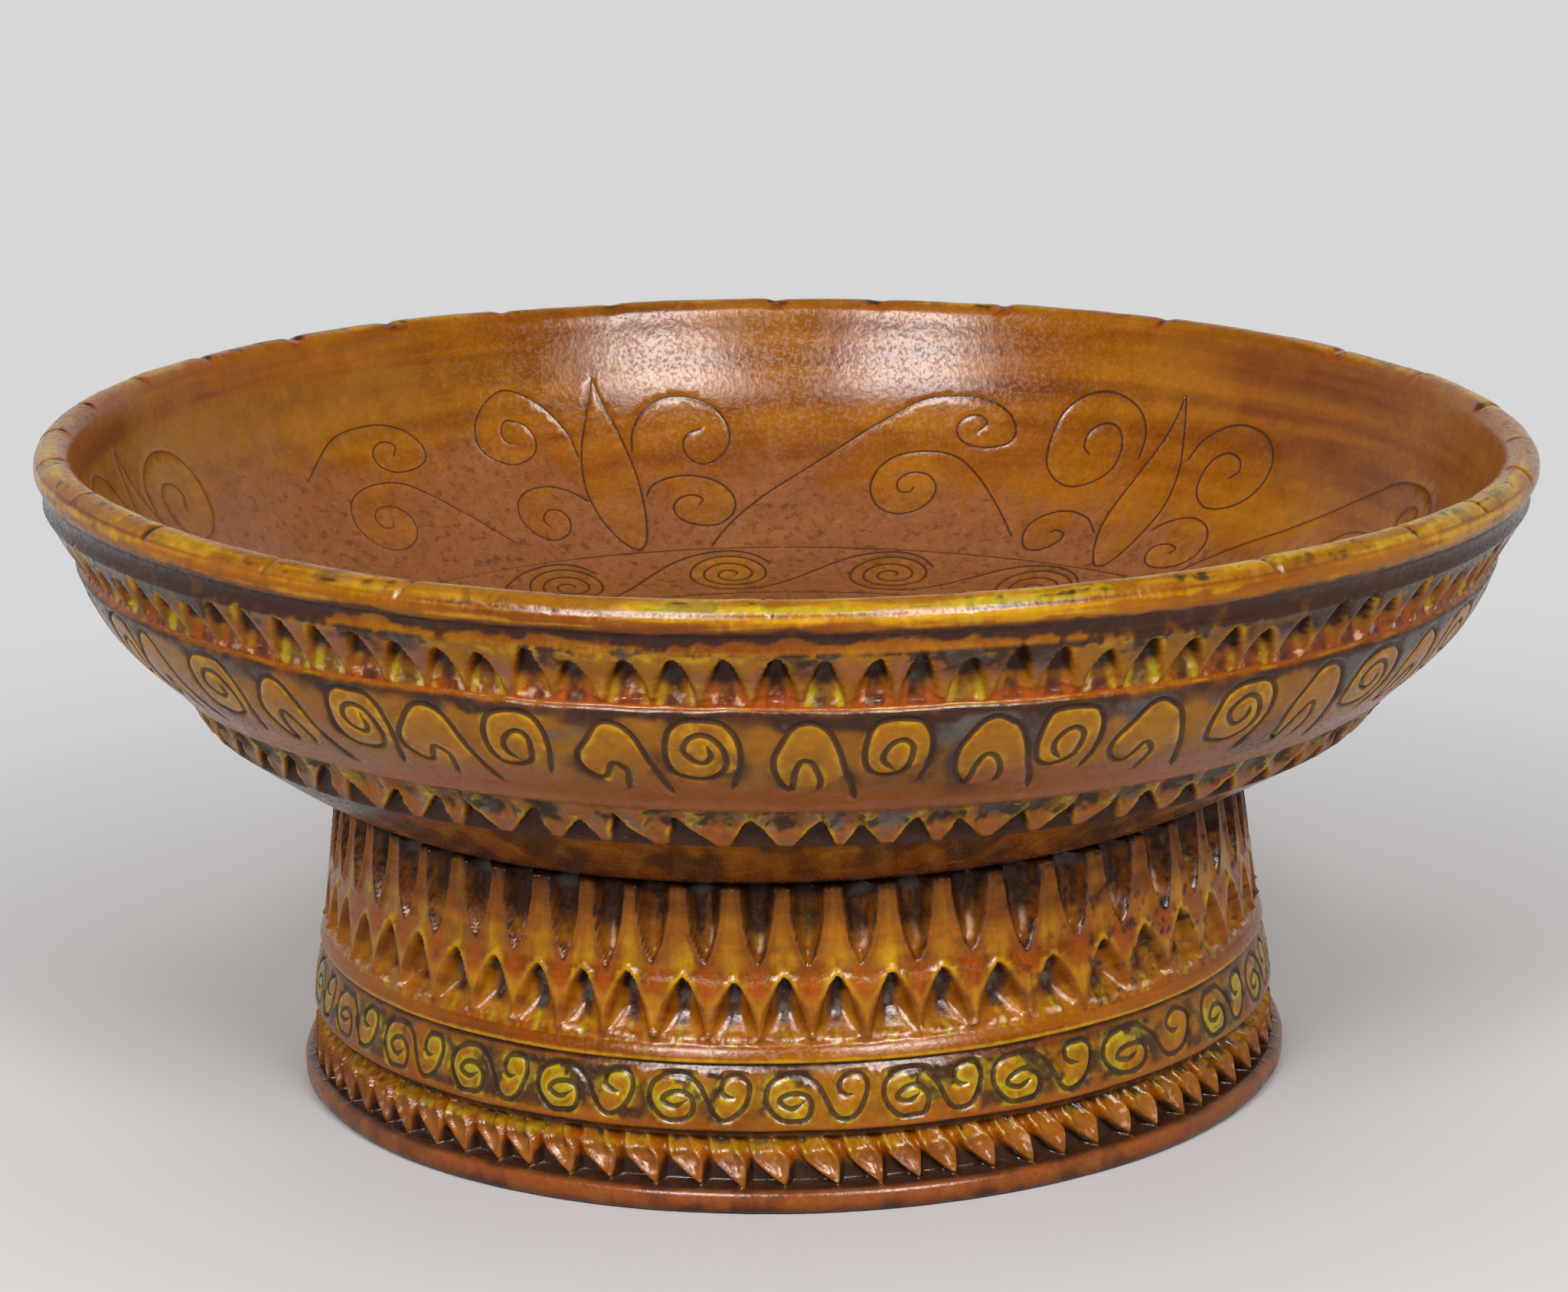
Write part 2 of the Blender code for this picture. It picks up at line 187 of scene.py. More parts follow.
class Wall:
    """One closed wall, built up from rings of points, with a mask value of each kind at every point."""

    def __init__(self):
        self.points, self.masks, self.faces, self.total = [], [], [], 0

    def add(self, points, masks):
        points = np.asarray(points, float).reshape(-1, 3)
        table = np.zeros((len(points), len(MASKS)))
        for name, value in masks.items():
            value = np.ravel(value) if np.ndim(value) else value
            table[:, MASKS.index(name)] = np.broadcast_to(value, len(points))
        self.points.append(points)
        self.masks.append(np.clip(table, 0, 1))
        first, self.total = self.total, self.total + len(points)
        return np.arange(first, self.total)

    def rows(self, theta, radius, height, masks):
        """Rings from (rows, columns) arrays of radius and height. Returns the lowest and the highest."""
        count, columns = radius.shape
        masks = {name: np.broadcast_to(value, radius.shape) for name, value in masks.items()}
        index = self.add(turned(radius, theta, height), masks).reshape(count, columns)
        after = np.roll(index, -1, axis=1)
        quads = np.stack([index[:-1], after[:-1], after[1:], index[1:]], axis=-1).reshape(-1, 4)
        self.faces += quads.tolist()
        return (index[0], theta), (index[-1], theta)

    def stack(self, last, theta, radius, height, masks):
        """Rings on top of the ring that was last. Returns the highest."""
        low, high = self.rows(theta, radius, height, masks)
        self.zip(last, low)
        return high

    def zip(self, low, high):
        """Faces between two rings of any counts. A ring is (indices, rising angles)."""
        (a, at), (b, bt) = low, high
        n, m = len(a), len(b)
        if n == m:
            quads = np.stack([a, np.roll(a, -1), np.roll(b, -1), b], axis=-1)
            self.faces += quads.tolist()
            return
        i = j = 0
        while i < n or j < m:
            next_a = at[(i + 1) % n] + TURN * ((i + 1) // n)
            next_b = bt[(j + 1) % m] + TURN * ((j + 1) // m)
            if j == m or (i < n and next_a <= next_b):
                face = [a[i % n], a[(i + 1) % n], b[j % m]]
                i += 1
            else:
                face = [a[i % n], b[(j + 1) % m], b[j % m]]
                j += 1
            self.faces.append([int(k) for k in face])

    def patch(self, points, masks, triangles, source, rings, outward=-1):
        """A triangulated patch between rings that are there already, in the order of its border points."""
        index = self.add(points, masks)
        border = np.concatenate([ring[0] for ring in rings])
        index = np.where(source >= 0, border[np.clip(source, 0, len(border) - 1)], index)
        first_inner = len(rings[0][0])
        hole = (source[triangles] >= first_inner).all(axis=1)
        faces = index[triangles[~hole]]
        self.faces += faces[:, ::outward].tolist()

    def mesh(self, name, shape=lambda points: points):
        points = shape(np.vstack(self.points)) * MM
        masks = np.vstack(self.masks)
        data = bpy.data.meshes.new(name)
        data.from_pydata(points, [], self.faces)
        data.update()
        for k, layer in enumerate(LAYERS):
            values = masks[:, k * CHANNELS : (k + 1) * CHANNELS].astype(np.float32)
            colours = data.color_attributes.new(layer, "FLOAT_COLOR", "POINT")
            colours.data.foreach_set("color", values.ravel())
        data.shade_smooth()
        return new_object(name, data)


def profile(points, spacing):
    """Radius and height of a smooth profile at every spacing mm, with the distance along it."""
    curve = catmull(points, spacing)
    return curve[:, 0], curve[:, 1], lengths(curve)


# Incised lines: (points of the middle of a groove, half width, depth), in a plane that unrolls a wall.
# Half width and depth of each kind:
FOOT_GROOVE, BAND_GROOVE = (0.56, 0.75), (0.66, 0.75)
LEAF_GROOVE, WAVE_GROOVE, RING_GROOVE = (0.34, 0.18), (0.34, 0.16), (0.2, 0.12)


def engrave(lines, rings, grid, limit):
    """A patch whose mesh follows every groove. Rings are its border loops in the plane, outermost first.

    Returns points in the plane, triangles, how deep each point is cut from 0 to 1, the depth of its groove,
    how far it is beyond the groove's edge, and the number of the border point that it came from, or -1.
    """
    points, edges = [], []
    for ring in rings:
        first = len(points)
        points += ring.tolist()
        edges += [(first + i, first + (i + 1) % len(ring)) for i in range(len(ring))]
    border = len(points)
    tree = KDTree(sum(len(line[0]) * 4 for line in lines))
    centre_data = []
    for line, half, depth in lines:
        along = lengths(line)
        taper = smooth(np.minimum(along, along[-1] - along), 0, 2.5 * half) * 0.65 + 0.35
        tangent = np.gradient(line, axis=0)
        tangent /= np.hypot(*tangent.T)[:, None]
        normal = np.c_[-tangent[:, 1], tangent[:, 0]]
        for side in (-1, 0, 1):
            row = line + normal * (side * half * taper)[:, None]
            first = len(points)
            points += row.tolist()
            edges += [(first + i, first + i + 1) for i in range(len(row) - 1)]
        fine = np.linspace(0, len(line) - 1, (len(line) - 1) * 4 + 1)
        steps = np.arange(len(line))
        x, y, t = (np.interp(fine, steps, v) for v in (line[:, 0], line[:, 1], taper))
        for px, py, pt in zip(x, y, t):
            tree.insert((px, py, 0), len(centre_data))
            centre_data.append((half * pt, depth * pt))
    tree.balance()
    for x, y in grid:
        near = tree.find((x, y, 0))
        if near[2] is None or near[2] > limit + centre_data[near[1]][0]:
            points.append((x, y))
    coords, _, faces, origins, _, _ = delaunay_2d_cdt([Vector(p) for p in points], edges, [], 0, 1e-5, True)
    coords = np.array([(c.x, c.y) for c in coords])
    cut, depths, beyond = np.zeros((3, len(coords)))
    for k, (x, y) in enumerate(coords):
        _, index, distance = tree.find((x, y, 0))
        if index is not None:
            half, depth = centre_data[index]
            cut[k] = max(0, 1 - distance / half * 1.02)
            depths[k] = depth
            beyond[k] = distance - half
    source = np.array([min([o for o in made if o < border], default=-1) for made in origins])
    return coords, np.array(faces), cut, depths, beyond, source


def inside(points, outline):
    """Which 2-D points lie within a closed outline."""
    x, y = points.T
    result = np.zeros(len(points), bool)
    for (x0, y0), (x1, y1) in zip(outline, np.roll(outline, -1, axis=0)):
        if y0 != y1:
            crosses = (y0 > y) != (y1 > y)
            result ^= crosses & (x < (x1 - x0) * (y - y0) / (y1 - y0) + x0)
    return result


def inside_any(points, outlines):
    """Which 2-D points lie within any of the outlines."""
    result = np.zeros(len(points), bool)
    for outline in outlines:
        near = ((points >= outline.min(0)) & (points <= outline.max(0))).all(axis=1)
        result[near] |= inside(points[near], outline)
    return result


def hull(points):
    """The corners of the smallest convex outline around the points."""
    points = np.asarray(points, float)
    return points[convex_hull_2d([Vector(p) for p in points])]


def circle(radius, theta):
    return np.c_[radius * np.sin(theta), -radius * np.cos(theta)]


def columns(section, count):
    """Radius and height arrays, with a row for each point of a section and this many equal columns."""
    radius, height = np.array(section, float).T
    return radius[:, None] * np.ones(count), height[:, None] * np.ones(count)


# Rows of evenly spaced points are this share of their spacing apart
ROW_STEP = 0.866


def hexagons(low, high, spacing, seed):
    """Scattered points between two circles, about evenly spaced."""
    draw = np.random.default_rng(seed)
    rows = []
    across, up = int(high / spacing), int(high / spacing / ROW_STEP)
    for j in range(-up - 1, up + 2):
        x = (np.arange(-across - 1, across + 2) + 0.5 * (j % 2)) * spacing
        rows.append(np.c_[x, np.full_like(x, j * spacing * ROW_STEP)])
    grid = np.vstack(rows)
    grid += draw.uniform(-0.12, 0.12, grid.shape) * spacing
    size = np.hypot(*grid.T)
    return grid[(size > low + spacing * 0.6) & (size < high - spacing * 0.6)]


def spread(measured, count):
    """Cut centres in radians: those measured in front, and the others evenly over the rest of the turn."""
    rest = count - len(measured)
    gap = (measured[0] + 360 - measured[-1]) / (rest + 1)
    centres = np.r_[measured, measured[-1] + gap * np.arange(1, rest + 1)]
    return in_turn(centres)


def local(theta, centres):
    """For each angle its nearest centre, and the offset from it, which is half in the middle of two."""
    around = np.r_[centres[-1] - TURN, centres, centres[0] + TURN]
    theta = wrapped(theta)
    right = np.clip(np.searchsorted(around, theta, side="right"), 1, len(around) - 1)
    t = (theta - around[right - 1]) / (around[right] - around[right - 1])
    nearest = np.where(t < 0.5, right - 1, right)
    return (nearest - 1) % len(centres), np.where(t < 0.5, t, t - 1)


def gouge(theta, rise, centres, radius, height, width, depth_along, seed, wobble, shorter=0, lean=0):
    """A row of arched cuts. Rise is 0 at the open end and 1 at the apex.

    Returns the share of the full depth that is cut, and the signed distance in mm to the nearest outline,
    negative inside, as (rows, columns) arrays, with the number of the cut.
    """
    draw = np.random.default_rng(seed)
    count = len(centres)
    reach = 1 - shorter + draw.uniform(-1, 1, count) * wobble
    strength = 1 + draw.uniform(-1, 1, count) * wobble * 1.6
    shift = draw.uniform(-1, 1, count) * 0.05
    lean = draw.uniform(-1, 1, count) * lean
    pitch = radius * TURN / count
    depth = np.zeros((len(rise), len(theta)))
    distance = np.zeros_like(depth)
    number = np.zeros(depth.shape, int)
    for row, v in enumerate(rise):
        k, u = local(theta, centres)
        x = np.abs(u - shift[k] - lean[k] * v)
        w = v / reach[k]
        half = width(np.clip(w, 0, 1))
        slope = (width(np.clip(w + 0.02, 0, 1)) - half) / 0.02 * pitch / height
        d = (x - half) * pitch / np.sqrt(1 + np.minimum(slope**2, 30))
        d = np.where(w > 1, np.hypot(np.maximum(x * pitch, 0), (w - 1) * height), d)
        across = np.clip(-d / np.maximum(half * pitch * 0.8, 0.8), 0, 1)
        depth[row] = (1 - (1 - across) ** 2) ** 0.75 * depth_along(np.clip(w, 0, 1)) * strength[k]
        distance[row], number[row] = d, k
    return depth, distance, number


def offset(low, high, share, h):
    """Radius and height on a straight band between two corners, h mm proud of it."""
    (r0, z0), (r1, z1) = low, high
    length = math.hypot(r1 - r0, z1 - z0)
    share = share[:, None]
    return r0 + (r1 - r0) * share + h * (z1 - z0) / length, z0 + (z1 - z0) * share - h * (r1 - r0) / length


def speckle(theta, radius, height, size, seed):
    """Noise from 0 to 1 on a (rows, columns) grid of a wall."""
    points = turned(radius, theta, height)
    return noise(points.reshape(-1, 3), size, seed).reshape(points.shape[:-1])


# Foot

FLUTES = [
    -72, -66, -59.5, -53, -46.5, -40, -34, -27.5, -22, -16, -9.8, -4, 2, 8, 14.5, 21, 28, 35.5, 42, 50, 57,
    64, 71,
]
TEETH = [
    -64, -59.5, -55, -51, -46, -41, -36.5, -32, -27, -22, -17, -12, -7.5, -2.5, 3, 7.5, 12, 16.5, 21, 25.5,
    29.5, 34.5, 39, 43.5, 48, 52, 56, 60.5, 65,
]
FOOT_SCROLL_COUNT, TOOTH_COUNT, FLUTE_COUNT = 27, 78, 57
FOOT_SCROLLS = [-66, -52.5, -40, -27.5, -14, -1, 12, 25, 40, 57]
# One S of the foot's scroll band, in degrees from the middle of its large spiral and mm above the table
FOOT_SCROLL = [
    (1.7, 20.6), (0.5, 19.6), (-0.8, 20.6), (-0.1, 22), (1.3, 22.4), (2.5, 21.4), (2.8, 19.7), (2.3, 17.7),
    (1, 16.6), (-0.6, 17.3), (-1.9, 19.3), (-2.3, 21.7), (-1.7, 24.3), (0, 25.8), (2, 25.6), (3.5, 23.7),
    (4.3, 21.4), (5.2, 18.4), (6.3, 17.3), (7.8, 18.2), (8.8, 20.6), (9.2, 23.3), (8.6, 25.2), (7.4, 25.9),
    (6.3, 24.7), (6, 22.8), (6.7, 21.7), (7.5, 21.8),
]
# The foot's scroll band is unrolled to a plane in which the distance from the centre is 71 + z
FOOT_PLANE = 71
# The foot's scroll band: height and radius of its lower and upper edge
FOOT_BAND, FOOT_BAND_RADII = (16.1, 26.4), (96.95, 94.9)
# Mean spacing of its scrolls in degrees, the height of their middle, and how far down and up they reach
SCROLL_PITCH, SCROLL_MIDDLE, SCROLL_LOW, SCROLL_HIGH = 13.3, 21.3, 17.1, 25.5
# Where the foot's rows of cuts start above the table, how tall they are, and the mm from tooth to tooth
TEETH_START, TEETH_TALL, TOOTH_PITCH = 4.5, 8.7, 7.6
ARCH_START, ARCH_TALL = 31.4, 11.6
FLUTE_START, FLUTE_TALL = 45.2, 14.8
# Radius of the foot's plain cone where it stands and where it meets the bowl, and how tall it is
FOOT_CONE = 97.9, 90.5, 59.3


def foot_radius(z):
    low, high, tall = FOOT_CONE
    return low - (low - high) * z / tall


def foot_lines():
    """The scroll band's grooves, and the outlines of their rounds."""
    draw = np.random.default_rng(11)
    centres = spread(FOOT_SCROLLS, FOOT_SCROLL_COUNT)
    lines, rounds = [], []
    for k, centre in enumerate(centres):
        room = (centres[(k + 1) % FOOT_SCROLL_COUNT] - centre) % TURN / math.radians(SCROLL_PITCH)
        grow = 1 + draw.uniform(-0.05, 0.05)
        trail = []
        for degrees, z in FOOT_SCROLL:
            angle = centre + math.radians(degrees * room)
            z = SCROLL_MIDDLE + (z - SCROLL_MIDDLE) * grow + draw.uniform(-0.25, 0.25)
            z = min(max(z, SCROLL_LOW), SCROLL_HIGH)
            trail.append(((FOOT_PLANE + z) * math.sin(angle), -(FOOT_PLANE + z) * math.cos(angle)))
        lines.append((catmull(trail, 0.5), *FOOT_GROOVE))
        # the large spiral of the S and the small one
        rounds += [hull(trail[:14]), hull(trail[17:])]
    return lines, rounds


def on_the_right(theta):
    """0 in the middle of the front and left of it, up to 1 at the right side."""
    return smooth(np.sin(theta), 0.2, 0.8)


def make_base_ring(wall, theta):
    """The plain ring at the bottom of the foot, mauve, and darker towards the table."""
    ring = [(98, 0), (98.9, 0.15), (99.35, 0.8), (99.4, 1.8), (99.4, 3), (99.2, 3.7), (98.7, 4.2)]
    radius, height = columns(ring, FOOT_COLUMNS)
    radius = radius + 0.25 * (speckle(theta, 99, 0, 14, 3) - 0.5)
    mottle = speckle(theta, radius, height, 5, 4)
    below = down(1, 0.9, 0.6, 0.35, 0.1, 0.15, 0.5)
    masks = {"mauve": 0.7, "warm": 0.5, "dark": 0.15 + 0.6 * below + 0.25 * smooth(mottle, 0.5, 0.8)}
    return wall.rows(theta, radius, height, masks)


def make_teeth(wall, theta, last):
    """Leaning petals, each a scoop with a sharp rim and painted highlights, over dark cuts with painted
    shade in them.
    """
    z = np.linspace(TEETH_START, TEETH_START + TEETH_TALL, 22)
    v = ((z - TEETH_START) / TEETH_TALL)[:, None]
    centres = spread(TEETH, TOOTH_COUNT)
    draw = np.random.default_rng(21)
    lean = 0.6 * (v - 0.5) * TURN / TOOTH_COUNT
    k, u = local(theta + lean, centres)
    u = u + draw.uniform(-0.07, 0.07, TOOTH_COUNT)[k]
    tip = 0.03 + draw.uniform(-0.03, 0.05, TOOTH_COUNT)[k]
    climb = np.clip((v - tip) / (0.98 - tip), 0, 1)
    half = 0.37 * np.clip(climb * 1.7, 0, 1) ** 0.8 * np.clip(1.25 - 0.5 * climb, 0, 1)
    gap = (np.abs(u) - half) * TOOTH_PITCH
    petal = smooth(-gap, -0.35, 0.25)
    scoop = 1.05 * smooth(-gap, 0.1, 1.5) * smooth(v, 0.15, 0.5)
    sink = 2.0 * smooth(v, 0.72, 1)
    h = 0.45 * petal - 2.8 * smooth(gap, -0.1, 1.1) * smooth(v, 0, 0.05) - scoop - sink
    radius, height = foot_radius(z)[:, None] + h, z[:, None] * np.ones(FOOT_COLUMNS)
    mottle, coarse = speckle(theta, radius, height, 1.4, 5), speckle(theta, 97, height, 6, 6)
    top, right = smooth(v, 0.5, 0.85), on_the_right(theta)
    rim = bell(gap, -0.3, 0.35)
    masks = {
        # dark: painted shade in the cuts between the petals and at the top under the lip, and dark glaze
        # patches
        "dark": (1 - petal) * smooth(v + 0.2 * mottle, 0.75, 0.4) * 0.95 + smooth(v, 0.8, 1) * mottle
        + petal * smooth(coarse, 0.5, 0.8) * mottle * 0.7 + top * right * smooth(mottle, 0.4, 0.7) * 0.7,
        "pink": petal * (1 - top) * (0.2 + 0.5 * coarse),
        # pale: painted highlights on the petals
        "pale": petal * (1 - top) * smooth(mottle + 0.3 * coarse, 0.6, 1.05) * 0.6,
        "green": top * (0.1 + 0.7 * coarse) * (0.3 + 0.7 * mottle),
        "warm": (1 - petal) * smooth(v, 0.3, 0.6) * 0.6,
        "edge": rim * 0.5 * top + top * smooth(mottle, 0.5, 0.8) * 0.5,
    }
    return wall.stack(last, theta, radius, height, masks)


def make_foot_lip(wall, theta, last):
    """The dark groove under the foot's scroll band, with painted shadow under the lip, and the band's lower
    lip.
    """
    lip = [(95.1, 13.7), (95, 14.4), (95.5, 14.9), (96.6, 15.2), (96.95, 15.6), (96.95, 16)]
    radius, height = columns(lip, FOOT_COLUMNS)
    height = height + 0.35 * (speckle(theta, 95, 20, 16, 7) - 0.5)
    mottle = speckle(theta, radius, height, 3, 8)
    share = down(0.7, 1, 1, 0.5, 0, 0)
    masks = {
        # dark: the groove's dark glaze with painted shadow under the lip
        "dark": share * (0.7 + 0.4 * mottle),
        "warm": (1 - share) * 0.3,
        "pink": (1 - share) * 0.5 * mottle,
    }
    return wall.stack(last, theta, radius, height, masks)


def make_foot_ledge(wall, theta):
    """The groove and the ledge over the foot's scroll band."""
    ledge = [(94.9, 26.6), (94.2, 27), (94.3, 27.4), (95, 27.8), (95.3, 28.2), (95.1, 28.8)]
    ledge += [(94.8, 29.6), (94.4, 30.4)]
    radius, height = columns(ledge, FOOT_COLUMNS)
    height = height + 0.3 * (speckle(theta, 95, 40, 18, 9) - 0.5)
    mottle = speckle(theta, radius, height, 3, 10)
    share = down(0.5, 1, 0.9, 0.1, 0, 0, 0, 0.1)
    masks = {
        "dark": share * (0.6 + 0.5 * mottle),
        "edge": down(0, 0, 0.2, 1, 0.9, 0.1, 0, 0) * (0.6 + 0.5 * mottle),
        "warm": down(0, 0, 0, 0.3, 0.3, 0.4, 0.4, 0.4) * (0.4 + 0.6 * mottle),
    }
    return wall.rows(theta, radius, height, masks)


def make_flutes(wall, theta, last):
    """Arches with pooled glaze at their feet, and flutes over them. Shade is painted in the arches' slots
    and tops and where the flutes run under the bowl, and glints on the pools and near the flutes' tips.
    """
    z = np.r_[np.linspace(30.6, 43.6, 27), np.linspace(44.2, 59.9, 24)]
    z2 = z[:, None]
    flutes = spread(FLUTES, FLUTE_COUNT)
    arches = middles(flutes)
    arch_rise = (z - ARCH_START) / ARCH_TALL
    arch_depth, arch_edge, _ = gouge(
        theta, arch_rise, arches, 93.2, ARCH_TALL,
        lambda v: 0.5 * (1 - v) ** 0.6, lambda v: 0.3 + 0.7 * smooth(v, 0, 0.45), 31, wobble=0.07,
    )
    foot_of_arch = smooth(z2, 30.5, 32.2)
    flute_depth, flute_edge, flute = gouge(
        theta, 1 - (z - FLUTE_START) / FLUTE_TALL, flutes, 91.6, FLUTE_TALL,
        lambda v: 0.32 * (1 - v**2.2) ** 0.85, lambda v: 1 - 0.3 * v, 32, wobble=0.06,
    )
    nearest = np.minimum(arch_edge, flute_edge)
    rib = bell(nearest, 0.3, 0.6) * smooth(z2, 31, 34)
    tongue = smooth(arch_edge, 0.1, 1.8) * smooth(z2, 31.5, 35) * smooth(z2, 45, 41)
    between = smooth(nearest, 0.6, 1.6) * smooth(z2, 41, 44)
    pool = speckle(theta, 94, z2, 1.5, 33)
    h = 0.35 * rib + 0.35 * tongue - 0.25 * between - 3.5 * arch_depth * foot_of_arch - 3.0 * flute_depth
    rise2 = arch_rise[:, None]
    swag = bell(z2 - 31.9 - 0.9 * smooth(arch_edge, -1.5, 1), 0, 0.5)
    h = h + (0.5 + 0.9 * (pool - 0.3)) * swag
    radius, height = foot_radius(z)[:, None] + h, z2 * np.ones(FOOT_COLUMNS)
    mottle, coarse = speckle(theta, radius, height, 1.7, 12), speckle(theta, 94, height, 6, 13)
    streak = speckle(theta, 94, height * 0.25, 1.6, 35)
    _, side = local(theta[None, :] * np.ones_like(z2), arches)
    in_arch, in_flute = smooth(-arch_edge, -0.1, 0.9), smooth(-flute_edge, -0.1, 1)
    _, streak_side = local(theta[None, :] * np.ones_like(z2), flutes)
    shade = np.random.default_rng(34).random(FLUTE_COUNT)[flute]
    upper, low_flute = smooth(z2, 43, 45.5), smooth(z2, 54, 46)
    border = bell(flute_edge, 0.05, 0.28) * upper
    slot = bell(side, -0.02, 0.1 + 0.08 * rise2)
    # a streak of painted glint near each flute's tip
    painted_tip_glint = bell(streak_side, 0.08, 0.06) * smooth(z2, 46.5, 48) * smooth(z2, 54, 50)
    right = on_the_right(theta)
    ridge = smooth(flute_edge, 0.7, 1.6) * upper
    over_arch = bell(side, 0, 0.24) * smooth(z2, 41, 43) * smooth(z2, 52, 47) * smooth(flute_edge, 0.3, 1)
    under_flute = bell(streak_side, 0, 0.22) * smooth(z2, 37, 41) * smooth(z2, 46.5, 44)
    tongue_tip = smooth(arch_edge, 0.1, 1.2) * smooth(z2, 31.5, 34.5) * smooth(z2, 42, 38)
    masks = {
        # dark: painted shade in the arches' slots and tops and in the flutes' upper ends under the bowl,
        # with dark glaze streaks, lines and patches
        "dark": in_arch * slot * smooth(rise2, 0.12, 0.35) * (0.8 + 0.4 * mottle)
        + in_arch * smooth(rise2, 0.68, 0.85) * 0.9
        + in_flute * (1 - low_flute) * (0.38 + 1.1 * streak * (0.5 + 0.6 * shade)) + under_flute * 0.12
        + border * (0.5 + 0.5 * mottle) + smooth(z2, 57.5, 59.7) * 0.6 * (0.3 + coarse)
        + smooth(mottle + 0.4 * coarse, 0.75, 1.1) * (0.3 + 0.5 * right),
        "grey": in_arch * slot * smooth(rise2, 0.1, 0.4) * smooth(mottle, 0.3, 0.8)
        + smooth(z2, 56.5, 58.5) * smooth(coarse, 0.45, 0.8) * in_flute,
        "edge": bell(arch_edge, 0.6, 0.6) * smooth(rise2, 0.45, 1) * 0.5
        + ridge * (0.34 - 0.3 * coarse) + over_arch * (0.4 - 0.3 * mottle)
        + tongue_tip * (0.62 - 0.3 * coarse)
        + in_arch * (1 - slot) * (0.1 + 0.4 * mottle),
        "warm": under_flute * (0.5 + 0.3 * mottle) + 0.3 * bell(flute_edge, 0.5, 0.4) * upper
        + in_arch * (1 - slot) * 0.2 + in_flute * low_flute * 0.5 * (1 - streak)
        + smooth(z2, 32.8, 31.2) * 0.25 + ridge * 0.2 * coarse + tongue_tip * 0.35,
        "pink": smooth(arch_edge, 0.7, 2.2) * smooth(z2, 39, 36) * smooth(coarse, 0.4, 0.8) * 0.6,
        # pale: painted glints on the pooled glaze and near the flutes' tips
        "pale": swag * smooth(pool, 0.45, 0.75) * 0.8 + in_flute * painted_tip_glint * smooth(shade, 0.2, 0.6),
        "green": in_arch * slot * (0.3 + 0.7 * mottle) * smooth(rise2, 0.35, 0.15) * 0.8
        + in_flute * smooth(streak, 0.5, 0.75) * (0.5 + 0.4 * right)
        * smooth(z2, 46, 50) * smooth(z2, 60.5, 57),
    }
    return wall.stack(last, theta, radius, height, masks)


def make_hollow(wall, last, bottom):
    """The hidden top and the hollow, bare on the resting ring."""
    few = angles(HIDDEN_COLUMNS)
    inner = [(86, 60.2), (82, 59.6), (80, 59.3), (83.4, 46), (87.5, 30), (90.2, 12)]
    inner += [(91, 3), (91.4, 1), (92, 0.25), (92.6, 0), (96.5, 0)]
    radius, height = columns(inner, HIDDEN_COLUMNS)
    bare = down(*[0] * 8, 0.6, 1, 1)
    masks = {"mauve": 0.5 * (1 - bare), "bare": bare, "dark": 0.35 * (1 - bare)}
    wall.zip(wall.stack(last, few, radius, height, masks), bottom)


def make_foot_band(wall, theta, rings):
    """The foot's scroll band, triangulated along its grooves."""
    low, high = FOOT_BAND
    borders = [circle(FOOT_PLANE + z, theta) for z in (high, low)]
    lines, rounds = foot_lines()
    grid = hexagons(FOOT_PLANE + low + 0.3, FOOT_PLANE + high - 0.3, 1, 12)
    coords, faces, cut, depths, beyond, source = engrave(lines, borders, grid, 0.4)
    angle, z = np.arctan2(coords[:, 0], -coords[:, 1]), np.hypot(*coords.T) - FOOT_PLANE
    share = (z - low) / (high - low)
    belly = 0.3 * np.sin(np.clip(share, 0, 1) * math.pi)
    wide, narrow = FOOT_BAND_RADII
    radius = wide + (narrow - wide) * share + belly - cut * depths
    points = turned(radius, angle, z)
    within = inside_any(coords, rounds)
    mottle, coarse = noise(points, 2, 14), noise(points, 9, 15)
    right = on_the_right(angle)
    hem = bell(np.maximum(beyond - 0.15, 0), 0, 0.4)
    masks = {
        "line": 0.5 - beyond / 1.6,
        "olive": smooth(z, 17, 20.5) * (0.5 + 0.4 * coarse),
        "fill": within * (0.3 + 0.5 * mottle),
        "green": (0.25 * smooth(z + 3 * coarse, 20, 28) + hem * 0.8 + 0.4 * right)
        * smooth(coarse + 0.3 * mottle, 0.4, 0.8),
        "warm": smooth(z + 2 * coarse, 20.5, 17) * 0.3,
        "edge": hem * (0.1 + 0.6 * mottle),
        "dark": 0.8 * smooth(z + coarse, 25.2, 27)
        + smooth(mottle + coarse + 0.25 * right, 0.8, 1.3) * 0.7 * (1 - within)
        + smooth(beyond, 1.2, 0.2) * (1 - within) * mottle * 0.25,
    }
    wall.patch(points, masks, faces, source, rings)


def make_foot():
    wall = Wall()
    theta = angles(FOOT_COLUMNS)
    bottom, high = make_base_ring(wall, theta)
    bottom_ring = make_foot_lip(wall, theta, make_teeth(wall, theta, high))
    top_ring, high = make_foot_ledge(wall, theta)
    make_hollow(wall, make_flutes(wall, theta, high), bottom)
    make_foot_band(wall, theta, [top_ring, bottom_ring])
    return wall.mesh("foot_carved")


# Bowl

